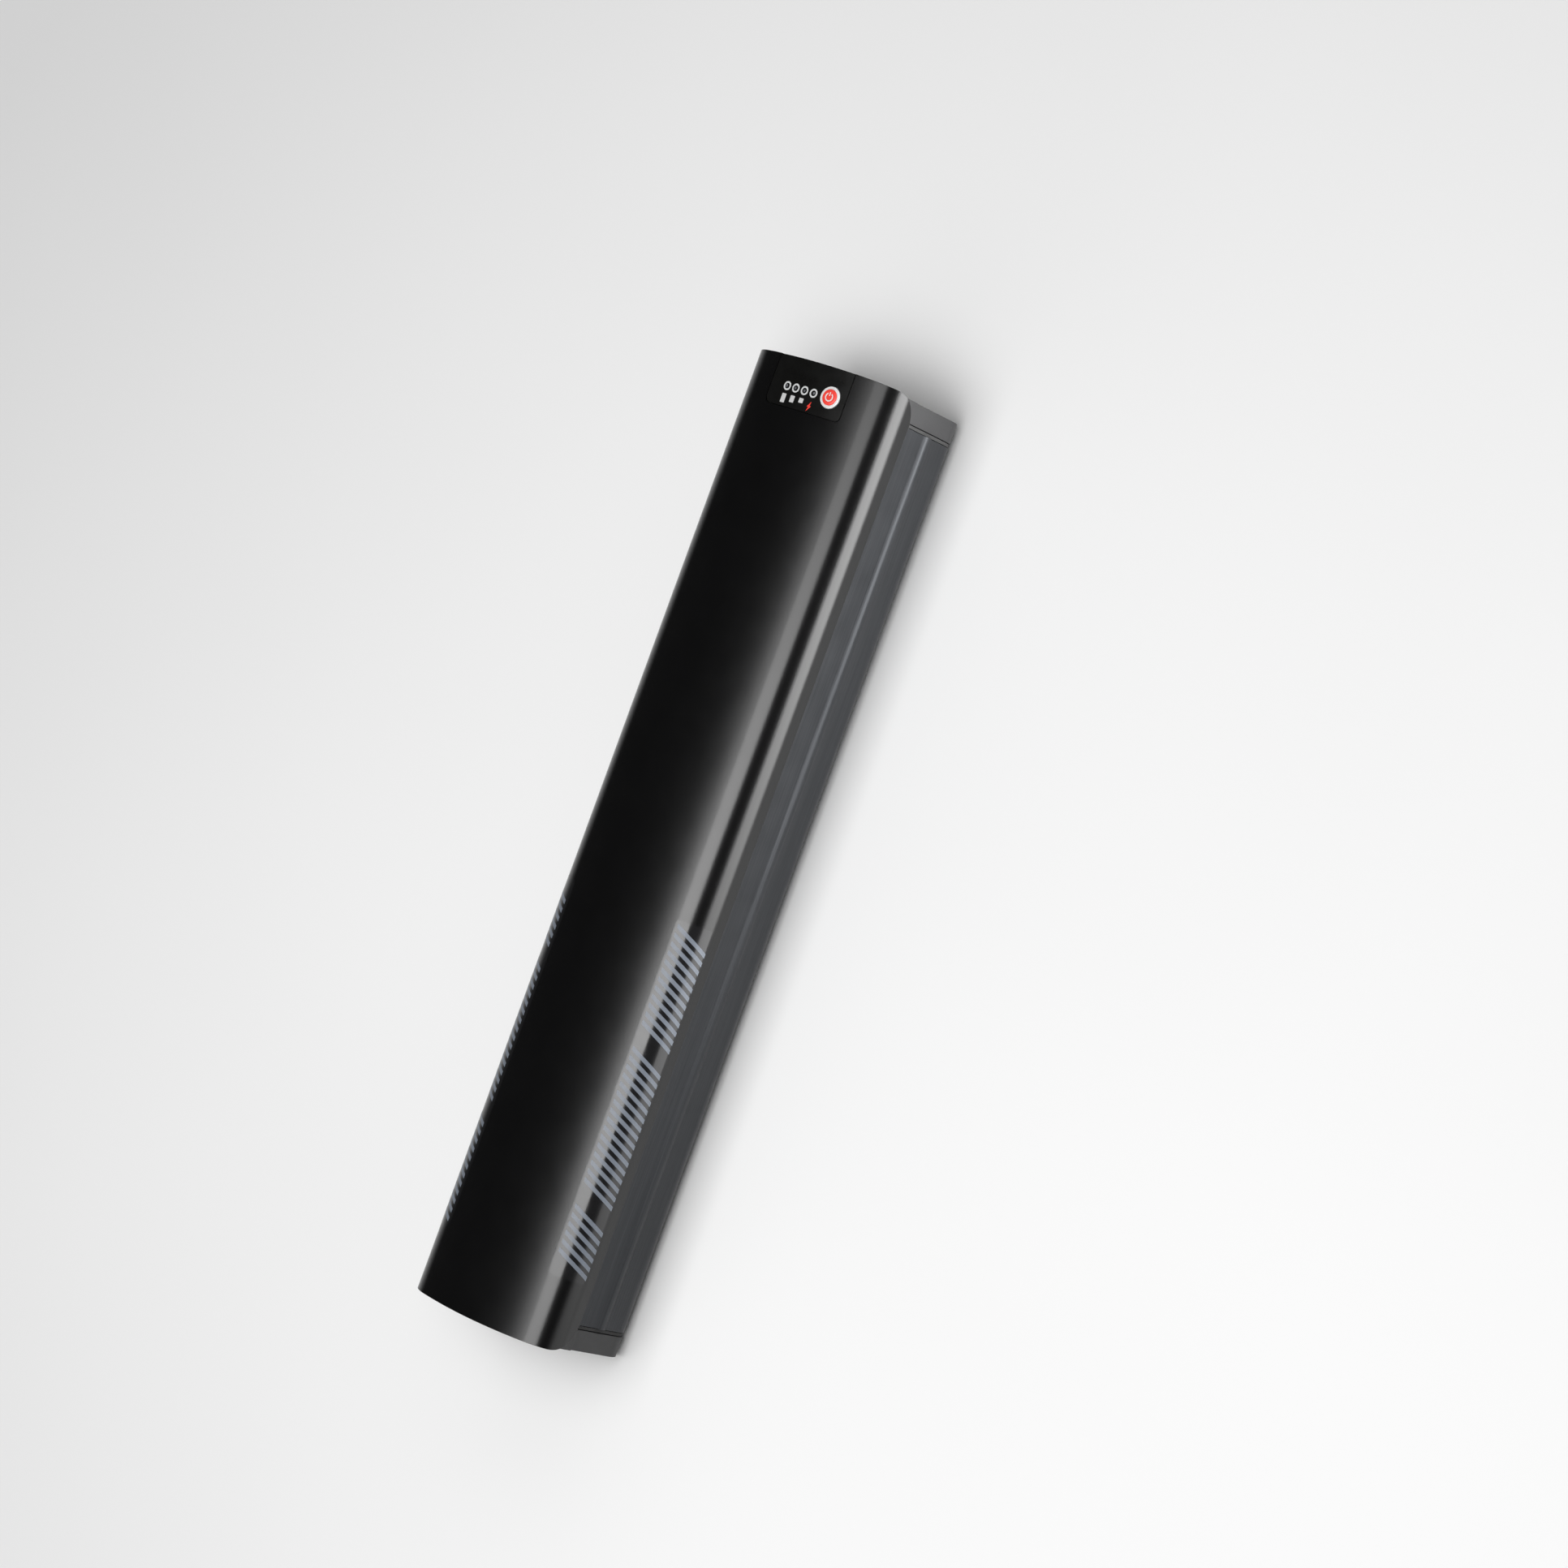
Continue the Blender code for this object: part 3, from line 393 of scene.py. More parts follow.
def panel_outline(margin, offset):
    """The panel seen from above in (x, y), grown by margin; offset moves its outer edge."""
    low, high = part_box("indicator_panel")
    right, left, inner = low.y - margin, high.y + margin, low.x - margin
    near, far = PANEL_CORNERS
    outer = [(x, y, 0) for x, y in end_line(right, left, offset)]
    return rounded(outer + [(inner, left, near), (inner, right, far)], 8)


def crown_slab(name, upper, lower):
    """A slab that follows the crown between two depths, wide enough for the panel."""
    reach = math.asin((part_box("indicator_panel")[1].y + 3 * MM) / CROWN_RADIUS)
    start, end = math.pi / 2 - reach, math.pi / 2 + reach
    outline = arc((0, CROWN_CENTRE), CROWN_RADIUS - upper, start, end, 48)
    outline += arc((0, CROWN_CENTRE), CROWN_RADIUS - lower, end, start, 48)
    return prism(name, outline, HALF_LENGTH - 40 * MM, HALF_LENGTH + 20 * MM, across)


def bow_ends(item):
    """Move a solid's two ends out towards their middle, so that they are bowed in plan."""
    for vertex in item.data.vertices:
        share = max(0, (abs(vertex.co.x) - SIDE_END + BOW_REACH) / BOW_REACH)
        bow = share * END_BOW * (1 - (vertex.co.y / HALF_WIDTH) ** 2)
        vertex.co.x += math.copysign(bow, vertex.co.x)


def make_cover(material):
    """The crowned lid with its rounded ends, skirts and the recess for the panel."""
    spare = 5 * MM
    side = rounded([(-SIDE_END, SKIRT_LOW, SKIRT_CORNER), (SIDE_END, SKIRT_LOW, SKIRT_CORNER),
                    (SIDE_END, TOP + spare, 0), (-SIDE_END, TOP + spare, 0)], 20)
    cover = prism("cover_shell", crown_outline(0, SKIRT_LOW - spare), -SIDE_END - spare,
                  SIDE_END + spare, across)
    inner = SIDE_END - COVER_WALL
    cavity = prism("cavity", crown_outline(COVER_WALL, SKIRT_LOW - spare, 10, 16), -inner, inner,
                   across)
    mouth_y = HALF_WIDTH - COVER_WALL
    mouth_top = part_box("upper_end_cap")[1].z + MOUTH_CLEARANCE
    mouth = prism("mouth", [(-mouth_y, 0), (mouth_y, 0), (mouth_y, mouth_top),
                            (-mouth_y, mouth_top)], -2 * inner, 2 * inner, across)
    plan = prism("plan", panel_outline(PANEL_GAP, spare), 0, 2 * TOP, flat)
    recess = shape(crown_slab("recess", -spare, RECESS_DEPTH), ("INTERSECT", plan))
    shape(cover, ("INTERSECT", prism("side", side, -2 * HALF_WIDTH, 2 * HALF_WIDTH, along)),
          ("BEVEL", EDGE_ROUND, 5), ("DIFFERENCE", cavity), ("DIFFERENCE", mouth),
          ("DIFFERENCE", recess), ("DIFFERENCE", button_hole()))
    bow_ends(cover)
    mount(dress(smooth(cover), material), "pack", "cover_black", "top_cover")


# --- indicator panel and button -----------------------------------------------------------

guide_low, guide_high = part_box("light_guide")
LAMP_X = (guide_low.x + guide_high.x) / 2
LAMP_PITCH = 4.52 * MM
LAMPS = [10.2 * MM - index * LAMP_PITCH for index in range(4)]
LAMP_RADIUS = 1.1 * MM
WINDOW_RADIUS = 1.15 * MM
RING_RADII = (1.8 * MM, 1.14 * MM)
BAR_SETBACK = 3.1 * MM
BAR_HALF_WIDTH = 1.08 * MM
BAR_HEIGHTS = (3.65 * MM, 2.7 * MM, 1.9 * MM)
BOLT_SETBACK = 5.4 * MM
BOLT = ((2.1, -0.55), (-0.25, 1), (-0.25, 0.2), (-2.1, 0.75), (0.25, -1), (0.25, -0.25))
INK_THICKNESS = 0.03 * MM
button_low, button_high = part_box("power_button")
BUTTON_X = (button_low.x + button_high.x) / 2
BUTTON_RADIUS = 4.35 * MM
BUTTON_GAP = 0.3 * MM
BUTTON_Y = -11.2 * MM
FLANGE_WIDTH = 1.1 * MM
FLANGE_TOP = -2.7 * MM
FLANGE_BOTTOM = -3.5 * MM
DISC_RADIUS = 3.2 * MM
DISC_TOP = 0.75 * MM
SYMBOL_RADII = (1.78 * MM, 1.3 * MM)
SYMBOL_GAP = math.radians(33)
STROKE_ENDS = (0.45 * MM, 2 * MM)
STROKE_HALF_WIDTH = 0.22 * MM
DRILL_REACH = 9 * MM
BUTTON_TILT = math.asin(-BUTTON_Y / CROWN_RADIUS)
BUTTON_TURN = Matrix.Rotation(BUTTON_TILT, 4, "X")


def button_place(height, x=0.0, y=0.0):
    """A point in the button's own frame: height over the crown, along the button's axis."""
    surface = Vector((BUTTON_X, BUTTON_Y, crown_height(BUTTON_Y)))
    return surface + BUTTON_TURN.to_3x3() @ Vector((x, y, height))


def button_hole():
    """The drill for the button's hole, along the button's own axis."""
    return cylinder("hole", BUTTON_RADIUS + BUTTON_GAP, button_place(-DRILL_REACH),
                    button_place(DRILL_REACH), 48)


def lamp_hole(y):
    """The drill for one lamp window, straight down."""
    reach = Vector((0, 0, DRILL_REACH))
    middle = Vector((LAMP_X, y, TOP))
    return cylinder("window", WINDOW_RADIUS, middle - reach, middle + reach, 32)


def make_panel(material):
    """The curved panel plate, with its softened edge, button hole and lamp windows."""
    outline = panel_outline(0, -PANEL_GAP)
    steps = [("INTERSECT", prism("plan", outline, 0, 2 * TOP, flat)),
             ("BEVEL", PANEL_EDGE_ROUND, 3), ("DIFFERENCE", button_hole())]
    steps += [("DIFFERENCE", lamp_hole(y)) for y in LAMPS]
    panel = shape(crown_slab("panel_plate", 0, PANEL_THICKNESS), *steps)
    mount(dress(smooth(panel), material), "pack", "panel_charcoal", "indicator_panel")


def printed(name, outline, place, hole=None):
    """A thin printed mark: an outline, or the band between an outline and its hole."""
    work = bmesh.new()
    loops = [outline] + ([hole] if hole else [])
    rings = [[[work.verts.new(place(u, v, lift)) for u, v in loop] for loop in loops]
             for lift in (-INK_THICKNESS, INK_THICKNESS)]
    count = len(outline)
    for index in range(count):
        following = (index + 1) % count
        for loop in range(len(loops)):
            low, high = rings[0][loop], rings[1][loop]
            work.faces.new((low[index], low[following], high[following], high[index]))
        if hole:
            for level in (0, 1):
                outer, inner = rings[level]
                work.faces.new((outer[index], outer[following], inner[following], inner[index]))
    if not hole:
        work.faces.new(rings[0][0])
        work.faces.new(rings[1][0])
    return add_mesh(name, work)


def on_crown(x, y, lift):
    """A point over the crown, seen from above."""
    return Vector((x, y, crown_height(y) + lift))


def circle(centre, radius, steps=40):
    """A closed round outline."""
    return arc(centre, radius, 0, 2 * math.pi * (steps - 1) / steps, steps - 1)


def turned(name, profile, place, sides=48):
    """A turned solid from (radius, height) points, from its axis back to its axis."""
    work = bmesh.new()
    rings = []
    for radius, height in profile:
        if radius == 0:
            rings.append([work.verts.new(place(height))])
            continue
        angles = [2 * math.pi * step / sides for step in range(sides)]
        rings.append([work.verts.new(place(height, radius * math.cos(a), radius * math.sin(a)))
                      for a in angles])
    for upper, lower in zip(rings, rings[1:]):
        for index in range(sides):
            following = (index + 1) % sides
            corners = [upper[index % len(upper)], upper[following % len(upper)],
                       lower[following % len(lower)], lower[index % len(lower)]]
            unique = [v for k, v in enumerate(corners) if v not in corners[:k]]
            if len(unique) > 2:
                work.faces.new(unique)
    return add_mesh(name, work)


def make_marks(white, grey, red):
    """Lamp rings, level bars and the charging bolt, printed on the panel."""
    outer, inner = RING_RADII
    for number, y in enumerate(LAMPS, 1):
        ring = printed(f"lamp_ring_{number}", circle((LAMP_X, y), outer), on_crown,
                       circle((LAMP_X, y), inner))
        mount(dress(ring, white), "pack", "lamp_clear")
    bar_top = LAMP_X - BAR_SETBACK
    for number, (y, height) in enumerate(zip(LAMPS, BAR_HEIGHTS), 1):
        corners = ((0, -1), (0, 1), (-height, 1), (-height, -1))
        outline = rounded([(bar_top + x, y + side * BAR_HALF_WIDTH, 0.2 * MM)
                           for x, side in corners], 3)
        mount(dress(printed(f"level_bar_{number}", outline, on_crown), grey), "pack", "lamp_clear")
    middle = LAMP_X - BOLT_SETBACK
    outline = [(middle + x * MM, LAMPS[-1] + y * MM) for x, y in BOLT]
    mount(dress(printed("charging_bolt", outline, on_crown), red), "pack", "button_red")


def make_lamp_windows(material):
    """The frosted ends of the light guide, slightly domed and just below the panel's face."""
    for number, y in enumerate(LAMPS, 1):
        def place(height, x=0.0, side=0.0, y=y):
            return Vector((LAMP_X + x, y + side, crown_height(y) + height))
        dome = [(0, 0.02 * MM), (0.5 * MM, 0), (0.9 * MM, -0.07 * MM),
                (LAMP_RADIUS, -0.16 * MM), (LAMP_RADIUS, -1.0 * MM), (0, -1.0 * MM)]
        window = turned(f"lamp_window_{number}", dome, place, 32)
        mount(dress(smooth(window), material), "pack", "lamp_clear")


def on_disc(x, y, lift):
    """A point over the red disc's flat top."""
    return button_place(DISC_TOP - 0.012 * MM + lift, x, y)


def make_button(white, red):
    """The white button body with its sloping ring, the raised red disc and the power symbol."""
    rim, flange = BUTTON_RADIUS, BUTTON_RADIUS + FLANGE_WIDTH
    body = [(0, 0.1 * MM), (3.24 * MM, 0.1 * MM), (3.27 * MM, 0.3 * MM), (3.7 * MM, 0.27 * MM),
            (3.74 * MM, 0.19 * MM), (3.82 * MM, 0.19 * MM), (3.86 * MM, 0.25 * MM),
            (4.15 * MM, 0.18 * MM), (4.29 * MM, 0.08 * MM), (rim, -0.06 * MM), (rim, FLANGE_TOP),
            (flange, FLANGE_TOP), (flange, FLANGE_BOTTOM), (0, FLANGE_BOTTOM)]
    button = turned("button_body", body, button_place, 64)
    mount(dress(smooth(button, 40), white), "button", "button_red", "power_button")
    disc = [(0, DISC_TOP), (2.4 * MM, DISC_TOP - 0.01 * MM), (2.75 * MM, DISC_TOP - 0.04 * MM),
            (3 * MM, DISC_TOP - 0.14 * MM), (3.15 * MM, DISC_TOP - 0.3 * MM),
            (DISC_RADIUS, DISC_TOP - 0.45 * MM), (DISC_RADIUS, 0.12 * MM), (0, 0.12 * MM)]
    mount(dress(smooth(turned("button_disc", disc, button_place, 64), 60), red), "button",
          "button_red")
    first, last = SYMBOL_GAP, 2 * math.pi - SYMBOL_GAP
    sweep = arc((0, 0), SYMBOL_RADII[0], first, last, 40)
    sweep += arc((0, 0), SYMBOL_RADII[1], last, first, 40)
    mount(dress(printed("power_arc", sweep, on_disc), white), "button", "button_red")
    inner, outer = STROKE_ENDS
    half, corner = STROKE_HALF_WIDTH, 0.2 * MM
    stroke = rounded([(inner, -half, corner), (outer, -half, corner), (outer, half, corner),
                      (inner, half, corner)], 4)
    mount(dress(printed("power_stroke", stroke, on_disc), white), "button", "button_red")


# --- small metal parts at the indicator end -----------------------------------------------

RIVET_RADIUS = 1.85 * MM
RIVET_SETBACK = 2.8 * MM
PIN_RADIUS = 0.9 * MM
PIN_TIP_DEPTH = 2.5 * MM
SOCKET_FLOOR = 1.5 * MM


def make_strike_rivets(metal):
    """Two rivets, peened almost flush, that hold the strike plate in the upper cap."""
    low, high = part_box("lock_strike")
    profile = [(0, 0.1 * MM), (1.45 * MM, 0.1 * MM), (1.7 * MM, 0.07 * MM),
               (RIVET_RADIUS, -0.02 * MM), (RIVET_RADIUS, -0.1 * MM), (0, -0.1 * MM)]
    for number, y in enumerate((low.y + RIVET_SETBACK, high.y - RIVET_SETBACK), 1):
        def place(height, aside=0.0, up=0.0, y=y):
            return Vector((high.x + height, y + aside, (low.z + high.z) / 2 + up))
        rivet = smooth(turned(f"strike_rivet_{number}", profile, place, 32), 5)
        mount(dress(rivet, metal), "pack", "strike_steel")


def make_charge_pin(metal):
    """The charging socket's centre pin, which shows when the flap is open."""
    low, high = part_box("charge_socket")
    middle = (low + high) / 2
    bottom = low.x - high.x + SOCKET_FLOOR
    profile = [(0, -PIN_TIP_DEPTH), (0.5 * MM, -2.6 * MM), (0.85 * MM, -3 * MM),
               (PIN_RADIUS, -3.4 * MM), (PIN_RADIUS, bottom), (0, bottom)]

    def place(height, aside=0.0, up=0.0):
        return Vector((high.x + height, middle.y + aside, middle.z + up))
    mount(dress(smooth(turned("charge_pin", profile, place, 32), 40), metal), "pack",
          "contact_brass")


# --- the bands of slanted bars on both shoulders ------------------------------------------

BAND_MIDDLE = -95.5 * MM
BAND_LENGTH = 141 * MM
BAND_TOP_ANGLE = math.radians(17)
BAND_HEIGHT = 14.9 * MM
BAND_SLANT = 7.7 * MM
BAND_GROUPS = (3, 8, 6)
BAR_WIDTH = 1.8 * MM
FILM_MARGIN = 1.5 * MM
FILM_ABOVE = 1.5 * MM
FILM_BELOW = 0.6 * MM
FILM_CORNER = 2 * MM
FILM_LIFT = 0.07 * MM
BAR_LIFT = 0.02 * MM
FILM_ROWS = 24
BAR_ROWS = 12


def on_shoulder(along, down, lift, side):
    """A point on a shoulder: along the band from its middle, and down from its upper edge.

    The lift over the shoulder ends where it would stand out past the cover's side.
    """
    x = BAND_MIDDLE + side * along
    offset = CROWN_RADIUS - SHOULDER_RADIUS
    centre_y = offset * math.sin(SHOULDER_ANGLE)
    centre_z = CROWN_CENTRE + offset * math.cos(SHOULDER_ANGLE)
    angle = BAND_TOP_ANGLE + down / SHOULDER_RADIUS
    radius = min(SHOULDER_RADIUS + lift, SHOULDER_RADIUS / math.sin(angle))
    return Vector((x, -side * (centre_y + radius * math.sin(angle)),
                   centre_z + radius * math.cos(angle)))


def wrapped(name, rows, columns, lifts, side):
    """A thin closed patch over a shoulder from rows of (down, first along, last along)."""
    work = bmesh.new()
    sheets = []
    for lift in lifts:
        sheets.append([[work.verts.new(on_shoulder(a + (b - a) * step / columns, down, lift, side))
                        for step in range(columns + 1)] for down, a, b in rows])
    for sheet in sheets:
        for upper, lower in zip(sheet, sheet[1:]):
            for step in range(columns):
                work.faces.new((upper[step], upper[step + 1], lower[step + 1], lower[step]))
    bottom, top = sheets
    rim = [(0, step) for step in range(columns + 1)]
    rim += [(row, columns) for row in range(1, len(rows))]
    rim += [(len(rows) - 1, step) for step in range(columns - 1, -1, -1)]
    rim += [(row, 0) for row in range(len(rows) - 2, 0, -1)]
    for (r1, c1), (r2, c2) in zip(rim, rim[1:] + rim[:1]):
        work.faces.new((bottom[r1][c1], bottom[r2][c2], top[r2][c2], top[r1][c1]))
    return add_mesh(name, work)


def make_film(side, word, film):
    """The clear film with rounded corners that carries one band."""
    half = BAND_LENGTH / 2 + FILM_MARGIN
    rows = []
    for step in range(FILM_ROWS + 1):
        down = -FILM_ABOVE + (BAND_HEIGHT + FILM_ABOVE + FILM_BELOW) * step / FILM_ROWS
        edge = min(down + FILM_ABOVE, BAND_HEIGHT + FILM_BELOW - down, FILM_CORNER)
        inset = FILM_CORNER - FILM_CORNER * math.sin(math.acos(1 - max(edge, 0) / FILM_CORNER))
        rows.append((down, inset - half, half - inset))
    sheet = wrapped(f"{word}_film", rows, 30, (-FILM_LIFT, FILM_LIFT), side)
    mount(dress(smooth(sheet), film), "pack", "cover_black")


def make_band(side, word, film, ink):
    """A film with three groups of slanted bars on one shoulder."""
    make_film(side, word, film)
    count = sum(BAND_GROUPS) + len(BAND_GROUPS) - 1
    pitch = (BAND_LENGTH - BAND_SLANT - BAR_WIDTH) / (2 * count - 1)
    gaps = [sum(BAND_GROUPS[:group]) + group - 1 for group in range(1, len(BAND_GROUPS))]
    for index in range(2 * count):
        if index // 2 in gaps:
            continue
        start = (BAND_SLANT - BAND_LENGTH) / 2 + index * pitch
        lines = []
        for step in range(BAR_ROWS + 1):
            shift = BAND_SLANT * (0.5 - step / BAR_ROWS)
            lines.append((BAND_HEIGHT * step / BAR_ROWS, start + shift, start + shift + BAR_WIDTH))
        bar = wrapped(f"{word}_bar_{index + 1:02d}", lines, 1,
                      (FILM_LIFT / 2, FILM_LIFT + BAR_LIFT), side)
        mount(dress(smooth(bar), ink), "pack", "lamp_clear")


# --- studio -------------------------------------------------------------------------------

VIEW_TILT = math.radians(36.6)
VIEW_ROLL = math.radians(69.86)
VIEW_DISTANCE = 1.77
VIEW_ALONG = 0.0389
VIEW_ASIDE = 0.0438
LENS_WIDTH = 36
FRAME_WIDTH = 0.6038
FLOOR_REACH = 8
FLOOR_DROP = 0.5 * MM
# Painted light on the floor: the strength of its glow, and the distances from the pack where the
# glow starts and is full
FLOOR_GLOW = 0.52
FLOOR_GLOW_REACH = (0.6, 2.2)
OVERHEAD_TILT = math.radians(13)
OVERHEAD_X = -0.13
OVERHEAD_HEIGHT = 1.3
OVERHEAD_SIZE = (1.3, 1.2)
OVERHEAD_RADIANCE = (8.2, 2.2)
OVERHEAD_REACH = 0.55
CARD_PLACE = (0.1, -0.1, 0.031)
CARD_SIZE = (0.8, 0.056)
CARD_RADIANCE = (9.2, 0.1)
CARD_BRIGHTEST_X = 0.25
CARD_REACH = 0.48
SKY_DIM = 0.03
# Each: the axis of the view direction, where its glow starts and is full, and its strength
SKY_GLOWS = (("X", 0.3, 0.95, 0.8), ("Z", 0.35, 0, 0.5), ("Z", 0.1, 0, 0.8))


def make_camera():
    """A long lens that looks down on the cover from the bicycle's right, rolled with the tube."""
    toward = Vector((0, -math.sin(VIEW_TILT), math.cos(VIEW_TILT)))
    aside = Vector((0, -math.cos(VIEW_TILT), -math.sin(VIEW_TILT)))
    lengthwise = Vector((1, 0, 0))
    right = math.cos(VIEW_ROLL) * lengthwise + math.sin(VIEW_ROLL) * aside
    up = math.sin(VIEW_ROLL) * lengthwise - math.cos(VIEW_ROLL) * aside
    centre = Vector((0, 0, TOP)) + VIEW_ALONG * lengthwise + VIEW_ASIDE * aside
    camera = bpy.data.objects.new("camera", bpy.data.cameras.new("camera"))
    bpy.context.scene.collection.objects.link(camera)
    turn = Matrix((right, up, toward)).transposed().to_4x4()
    camera.matrix_world = Matrix.Translation(centre + VIEW_DISTANCE * toward) @ turn
    camera.data.sensor_width = LENS_WIDTH
    camera.data.lens = LENS_WIDTH * VIEW_DISTANCE / FRAME_WIDTH
    camera.data.clip_end = 50
    bpy.context.scene.camera = camera


def make_light(name, centre, tilt, size, radiance, middle, reach):
    """A soft rectangular light beside the pack's axis, turned by tilt from straight down.

    It is brightest at the x of its middle, and fades to the second radiance over its reach.
    """
    data = bpy.data.lights.new(name, "AREA")
    data.shape = "RECTANGLE"
    data.size, data.size_y = size
    data.energy = math.pi * size[0] * size[1]
    data.use_nodes = True
    tree = data.node_tree
    parts = tree.nodes.new("ShaderNodeSeparateXYZ")
    tree.links.new(tree.nodes.new("ShaderNodeNewGeometry").outputs["Position"], parts.inputs[0])
    away = tree.nodes.new("ShaderNodeMath")
    away.operation = "SUBTRACT"
    away.inputs[1].default_value = middle
    tree.links.new(parts.outputs["X"], away.inputs[0])
    size_away = tree.nodes.new("ShaderNodeMath")
    size_away.operation = "ABSOLUTE"
    tree.links.new(away.outputs[0], size_away.inputs[0])
    fade = tree.nodes.new("ShaderNodeMapRange")
    fade.interpolation_type = "SMOOTHSTEP"
    fade.inputs["From Max"].default_value = reach
    fade.inputs["To Min"].default_value, fade.inputs["To Max"].default_value = radiance
    tree.links.new(size_away.outputs[0], fade.inputs["Value"])
    tree.links.new(fade.outputs["Result"], tree.nodes["Emission"].inputs["Strength"])
    light = bpy.data.objects.new(name, data)
    bpy.context.scene.collection.objects.link(light)
    light.matrix_world = Matrix.Translation(centre) @ Matrix.Rotation(tilt, 4, "X")
    light.visible_camera = False
    return light


def keep_light_off(light, item):
    """Link a light so that it shines on everything but one object."""
    skipped = bpy.data.collections.new(f"{light.name}_skips")
    skipped.objects.link(item)
    skipped.collection_objects[0].light_linking.link_state = "EXCLUDE"
    light.light_linking.receiver_collection = skipped


def make_studio():
    """A pale floor that glows further out as painted light, a large soft light overhead and a low
    card light beside the right skirt.
    """
    work = bmesh.new()
    bmesh.ops.create_grid(work, x_segments=1, y_segments=1, size=FLOOR_REACH)
    floor = add_mesh("floor", work)
    floor.location.z = -FLOOR_DROP
    pale = Finish("pale_floor", (0.74, 0.74, 0.74), 0.9, Specular_IOR_Level=0.2)
    pale.vary_colour(pale.noise(0.4, 2), (0.72, 0.72, 0.72))
    # Painted light: the floor glows more the farther it lies from the pack, so that the far floor
    # stands bright like a lit backdrop
    distance = pale.node("ShaderNodeVectorMath", Vector=pale.place())
    distance.operation = "LENGTH"
    glow = pale.remap(distance.outputs["Value"], 0, FLOOR_GLOW, *FLOOR_GLOW_REACH)
    pale.tree.links.new(glow, pale.shader.inputs["Emission Strength"])
    pale.shader.inputs["Emission Color"].default_value = (1, 1, 1, 1)
    dress(floor, pale.material)
    upward = Vector((0, -math.sin(OVERHEAD_TILT), math.cos(OVERHEAD_TILT)))
    make_light("overhead_light", Vector((OVERHEAD_X, 0, TOP)) + OVERHEAD_HEIGHT * upward,
               OVERHEAD_TILT, OVERHEAD_SIZE, OVERHEAD_RADIANCE, OVERHEAD_X, OVERHEAD_REACH)
    card = make_light("card_light", Vector(CARD_PLACE), math.radians(90), CARD_SIZE,
                      CARD_RADIANCE, CARD_BRIGHTEST_X, CARD_REACH)
    keep_light_off(card, floor)
    make_sky()
    bpy.context.scene.view_settings.view_transform = "Standard"


def make_sky():
    """Dim surroundings that brighten towards the horizon and towards the pack's two ends."""
    world = bpy.data.worlds.new("studio")
    world.use_nodes = True
    tree = world.node_tree
    direction = tree.nodes.new("ShaderNodeTexCoord")
    parts = tree.nodes.new("ShaderNodeSeparateXYZ")
    tree.links.new(direction.outputs["Generated"], parts.inputs["Vector"])
    glows = []
    for axis, start, stop, bright in SKY_GLOWS:
        size = tree.nodes.new("ShaderNodeMath")
        size.operation = "ABSOLUTE"
        tree.links.new(parts.outputs[axis], size.inputs[0])
        glow = tree.nodes.new("ShaderNodeMapRange")
        glow.interpolation_type = "SMOOTHSTEP"
        for name, value in (("From Min", start), ("From Max", stop), ("To Min", SKY_DIM),
                            ("To Max", bright)):
            glow.inputs[name].default_value = value
        tree.links.new(size.outputs["Value"], glow.inputs["Value"])
        glows.append(glow.outputs["Result"])
    brightest = glows[0]
    for glow in glows[1:]:
        brighter = tree.nodes.new("ShaderNodeMath")
        brighter.operation = "MAXIMUM"
        tree.links.new(brightest, brighter.inputs[0])
        tree.links.new(glow, brighter.inputs[1])
        brightest = brighter.outputs["Value"]
    tree.links.new(brightest, tree.nodes["Background"].inputs["Strength"])
    tree.nodes["Background"].inputs["Color"].default_value = (1, 1, 1, 1)
    bpy.context.scene.world = world


# --- everything in order ------------------------------------------------------------------

make_camera()
make_studio()

WHITE = print_ink("white_plastic", (0.64, 0.64, 0.64), 0.32)
LAMP_WHITE = print_ink("ring_ink", (0.52, 0.53, 0.53))
BAR_INK = print_ink("bar_ink", (0.5, 0.5, 0.5))
RED = print_ink("red_plastic", (0.75, 0.045, 0.03), 0.35)
BAND_INK = print_ink("band_ink", (0.115, 0.132, 0.16), 0.4)
CAP = moulded_plastic("cap_plastic", (0.012, 0.012, 0.0125), 0.48)
SOCKET = moulded_plastic("socket_plastic", (0.009, 0.009, 0.0095), 0.42, 0.2 * MM)
RUBBER = moulded_plastic("seal_rubber_finish", (0.012, 0.012, 0.012), 0.75, 0.18 * MM)
PANEL = moulded_plastic("panel_film", (0.002, 0.002, 0.0018), 0.3, 0.3 * MM, 0.008 * MM, 0.27)
STEEL = bare_metal("zinc_plated_steel", (0.62, 0.63, 0.64), 0.28, (1, 0.1, 1))
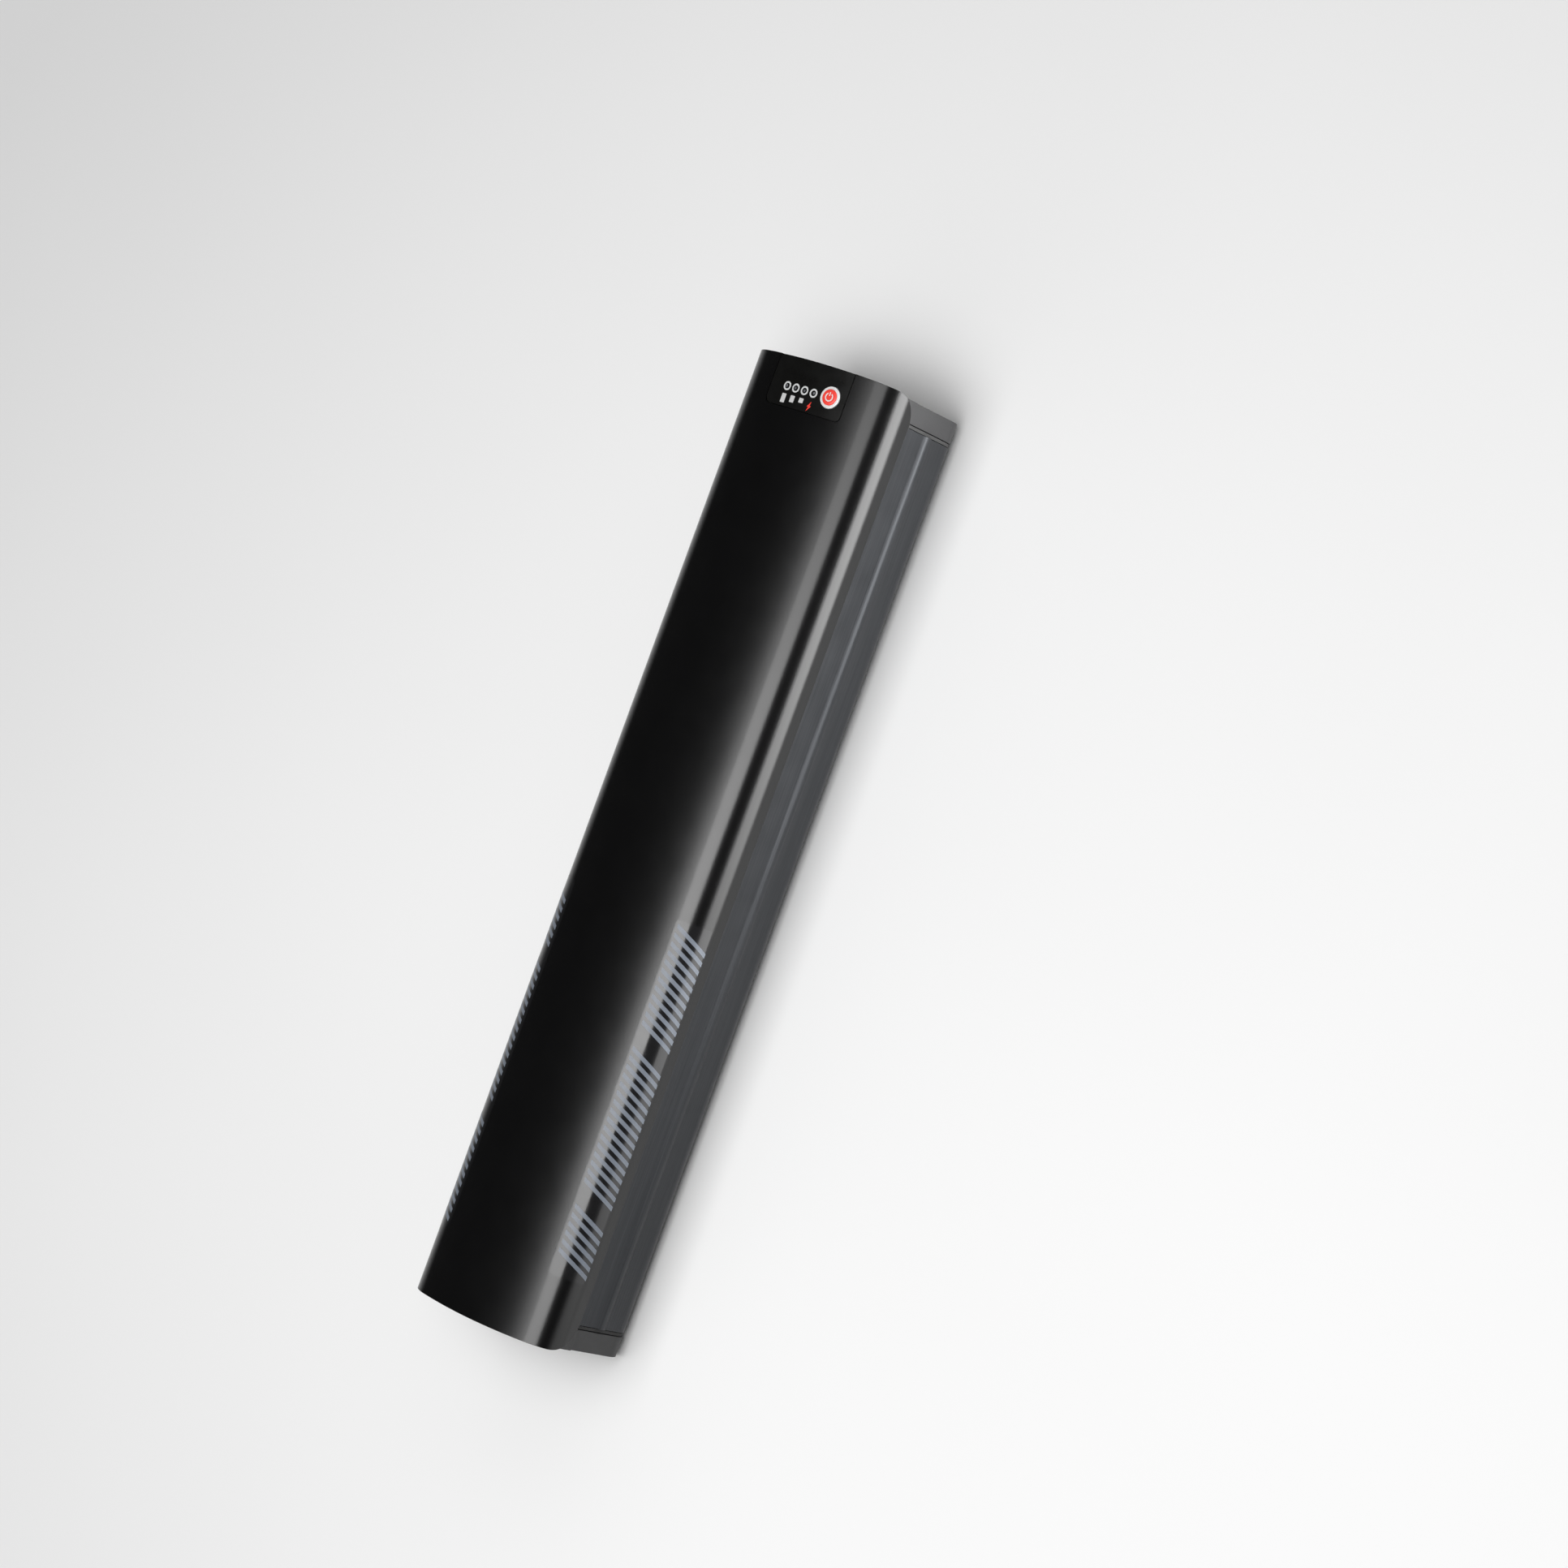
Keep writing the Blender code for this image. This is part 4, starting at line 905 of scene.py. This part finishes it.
BLACK_STEEL = bare_metal("black_oxide_steel", (0.06, 0.06, 0.063), 0.36)
GOLD = bare_metal("gold_flash", (0.83, 0.62, 0.28), 0.2, (0.1, 1, 1))
SLEEVE = moulded_plastic("cell_sleeve_film", (0.02, 0.2, 0.25), 0.35, 1 * MM)
CRADLE = moulded_plastic("cradle_plastic", (0.6, 0.6, 0.58), 0.55, 0.3 * MM)
BOARD = moulded_plastic("solder_resist", (0.01, 0.09, 0.03), 0.35, 0.5 * MM)
GREY = moulded_plastic("switch_plastic", (0.2, 0.2, 0.2), 0.5)
LAMP = lamp_plastic()

make_cover(satin_paint())
make_panel(PANEL)
make_marks(LAMP_WHITE, BAR_INK, RED)
make_lamp_windows(LAMP)
make_button(WHITE, RED)
make_strike_rivets(STEEL)
make_charge_pin(GOLD)
FILM = clear_film()
make_band(1, "right", FILM, BAND_INK)
make_band(-1, "left", FILM, BAND_INK)

NODE_FINISHES = {
    "lower_case": anodised_aluminium(),
    "lower_end_cap": CAP, "upper_end_cap": CAP,
    "lower_gasket": RUBBER, "upper_gasket": RUBBER, "charge_flap": RUBBER,
    "discharge_socket": SOCKET, "charge_socket": SOCKET,
    "power_contact_positive": GOLD, "power_contact_negative": GOLD, "signal_contact": GOLD,
    "lock_strike": STEEL, "switch_plunger": GREY, "light_guide": LAMP,
    "protection_board": BOARD, "indicator_board": BOARD,
    "lower_cradle": CRADLE, "middle_cradle": CRADLE, "upper_cradle": CRADLE,
}
SHADING = smooth_shading()
for node_name, width in (("lock_strike", 0.25 * MM), ("charge_flap", 0.3 * MM),
                         ("discharge_socket", 0.25 * MM), ("charge_socket", 0.2 * MM),
                         ("upper_end_cap", 0.2 * MM), ("lower_end_cap", 0.2 * MM),
                         ("lower_case", 0.3 * MM)):
    soften_node(node_name, width, SHADING)
for node_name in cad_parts:
    if node_name.startswith("cell_"):
        dress_node(node_name, SLEEVE)
    elif "screw" in node_name:
        dress_node(node_name, BLACK_STEEL)
    elif node_name in NODE_FINISHES:
        dress_node(node_name, NODE_FINISHES[node_name])
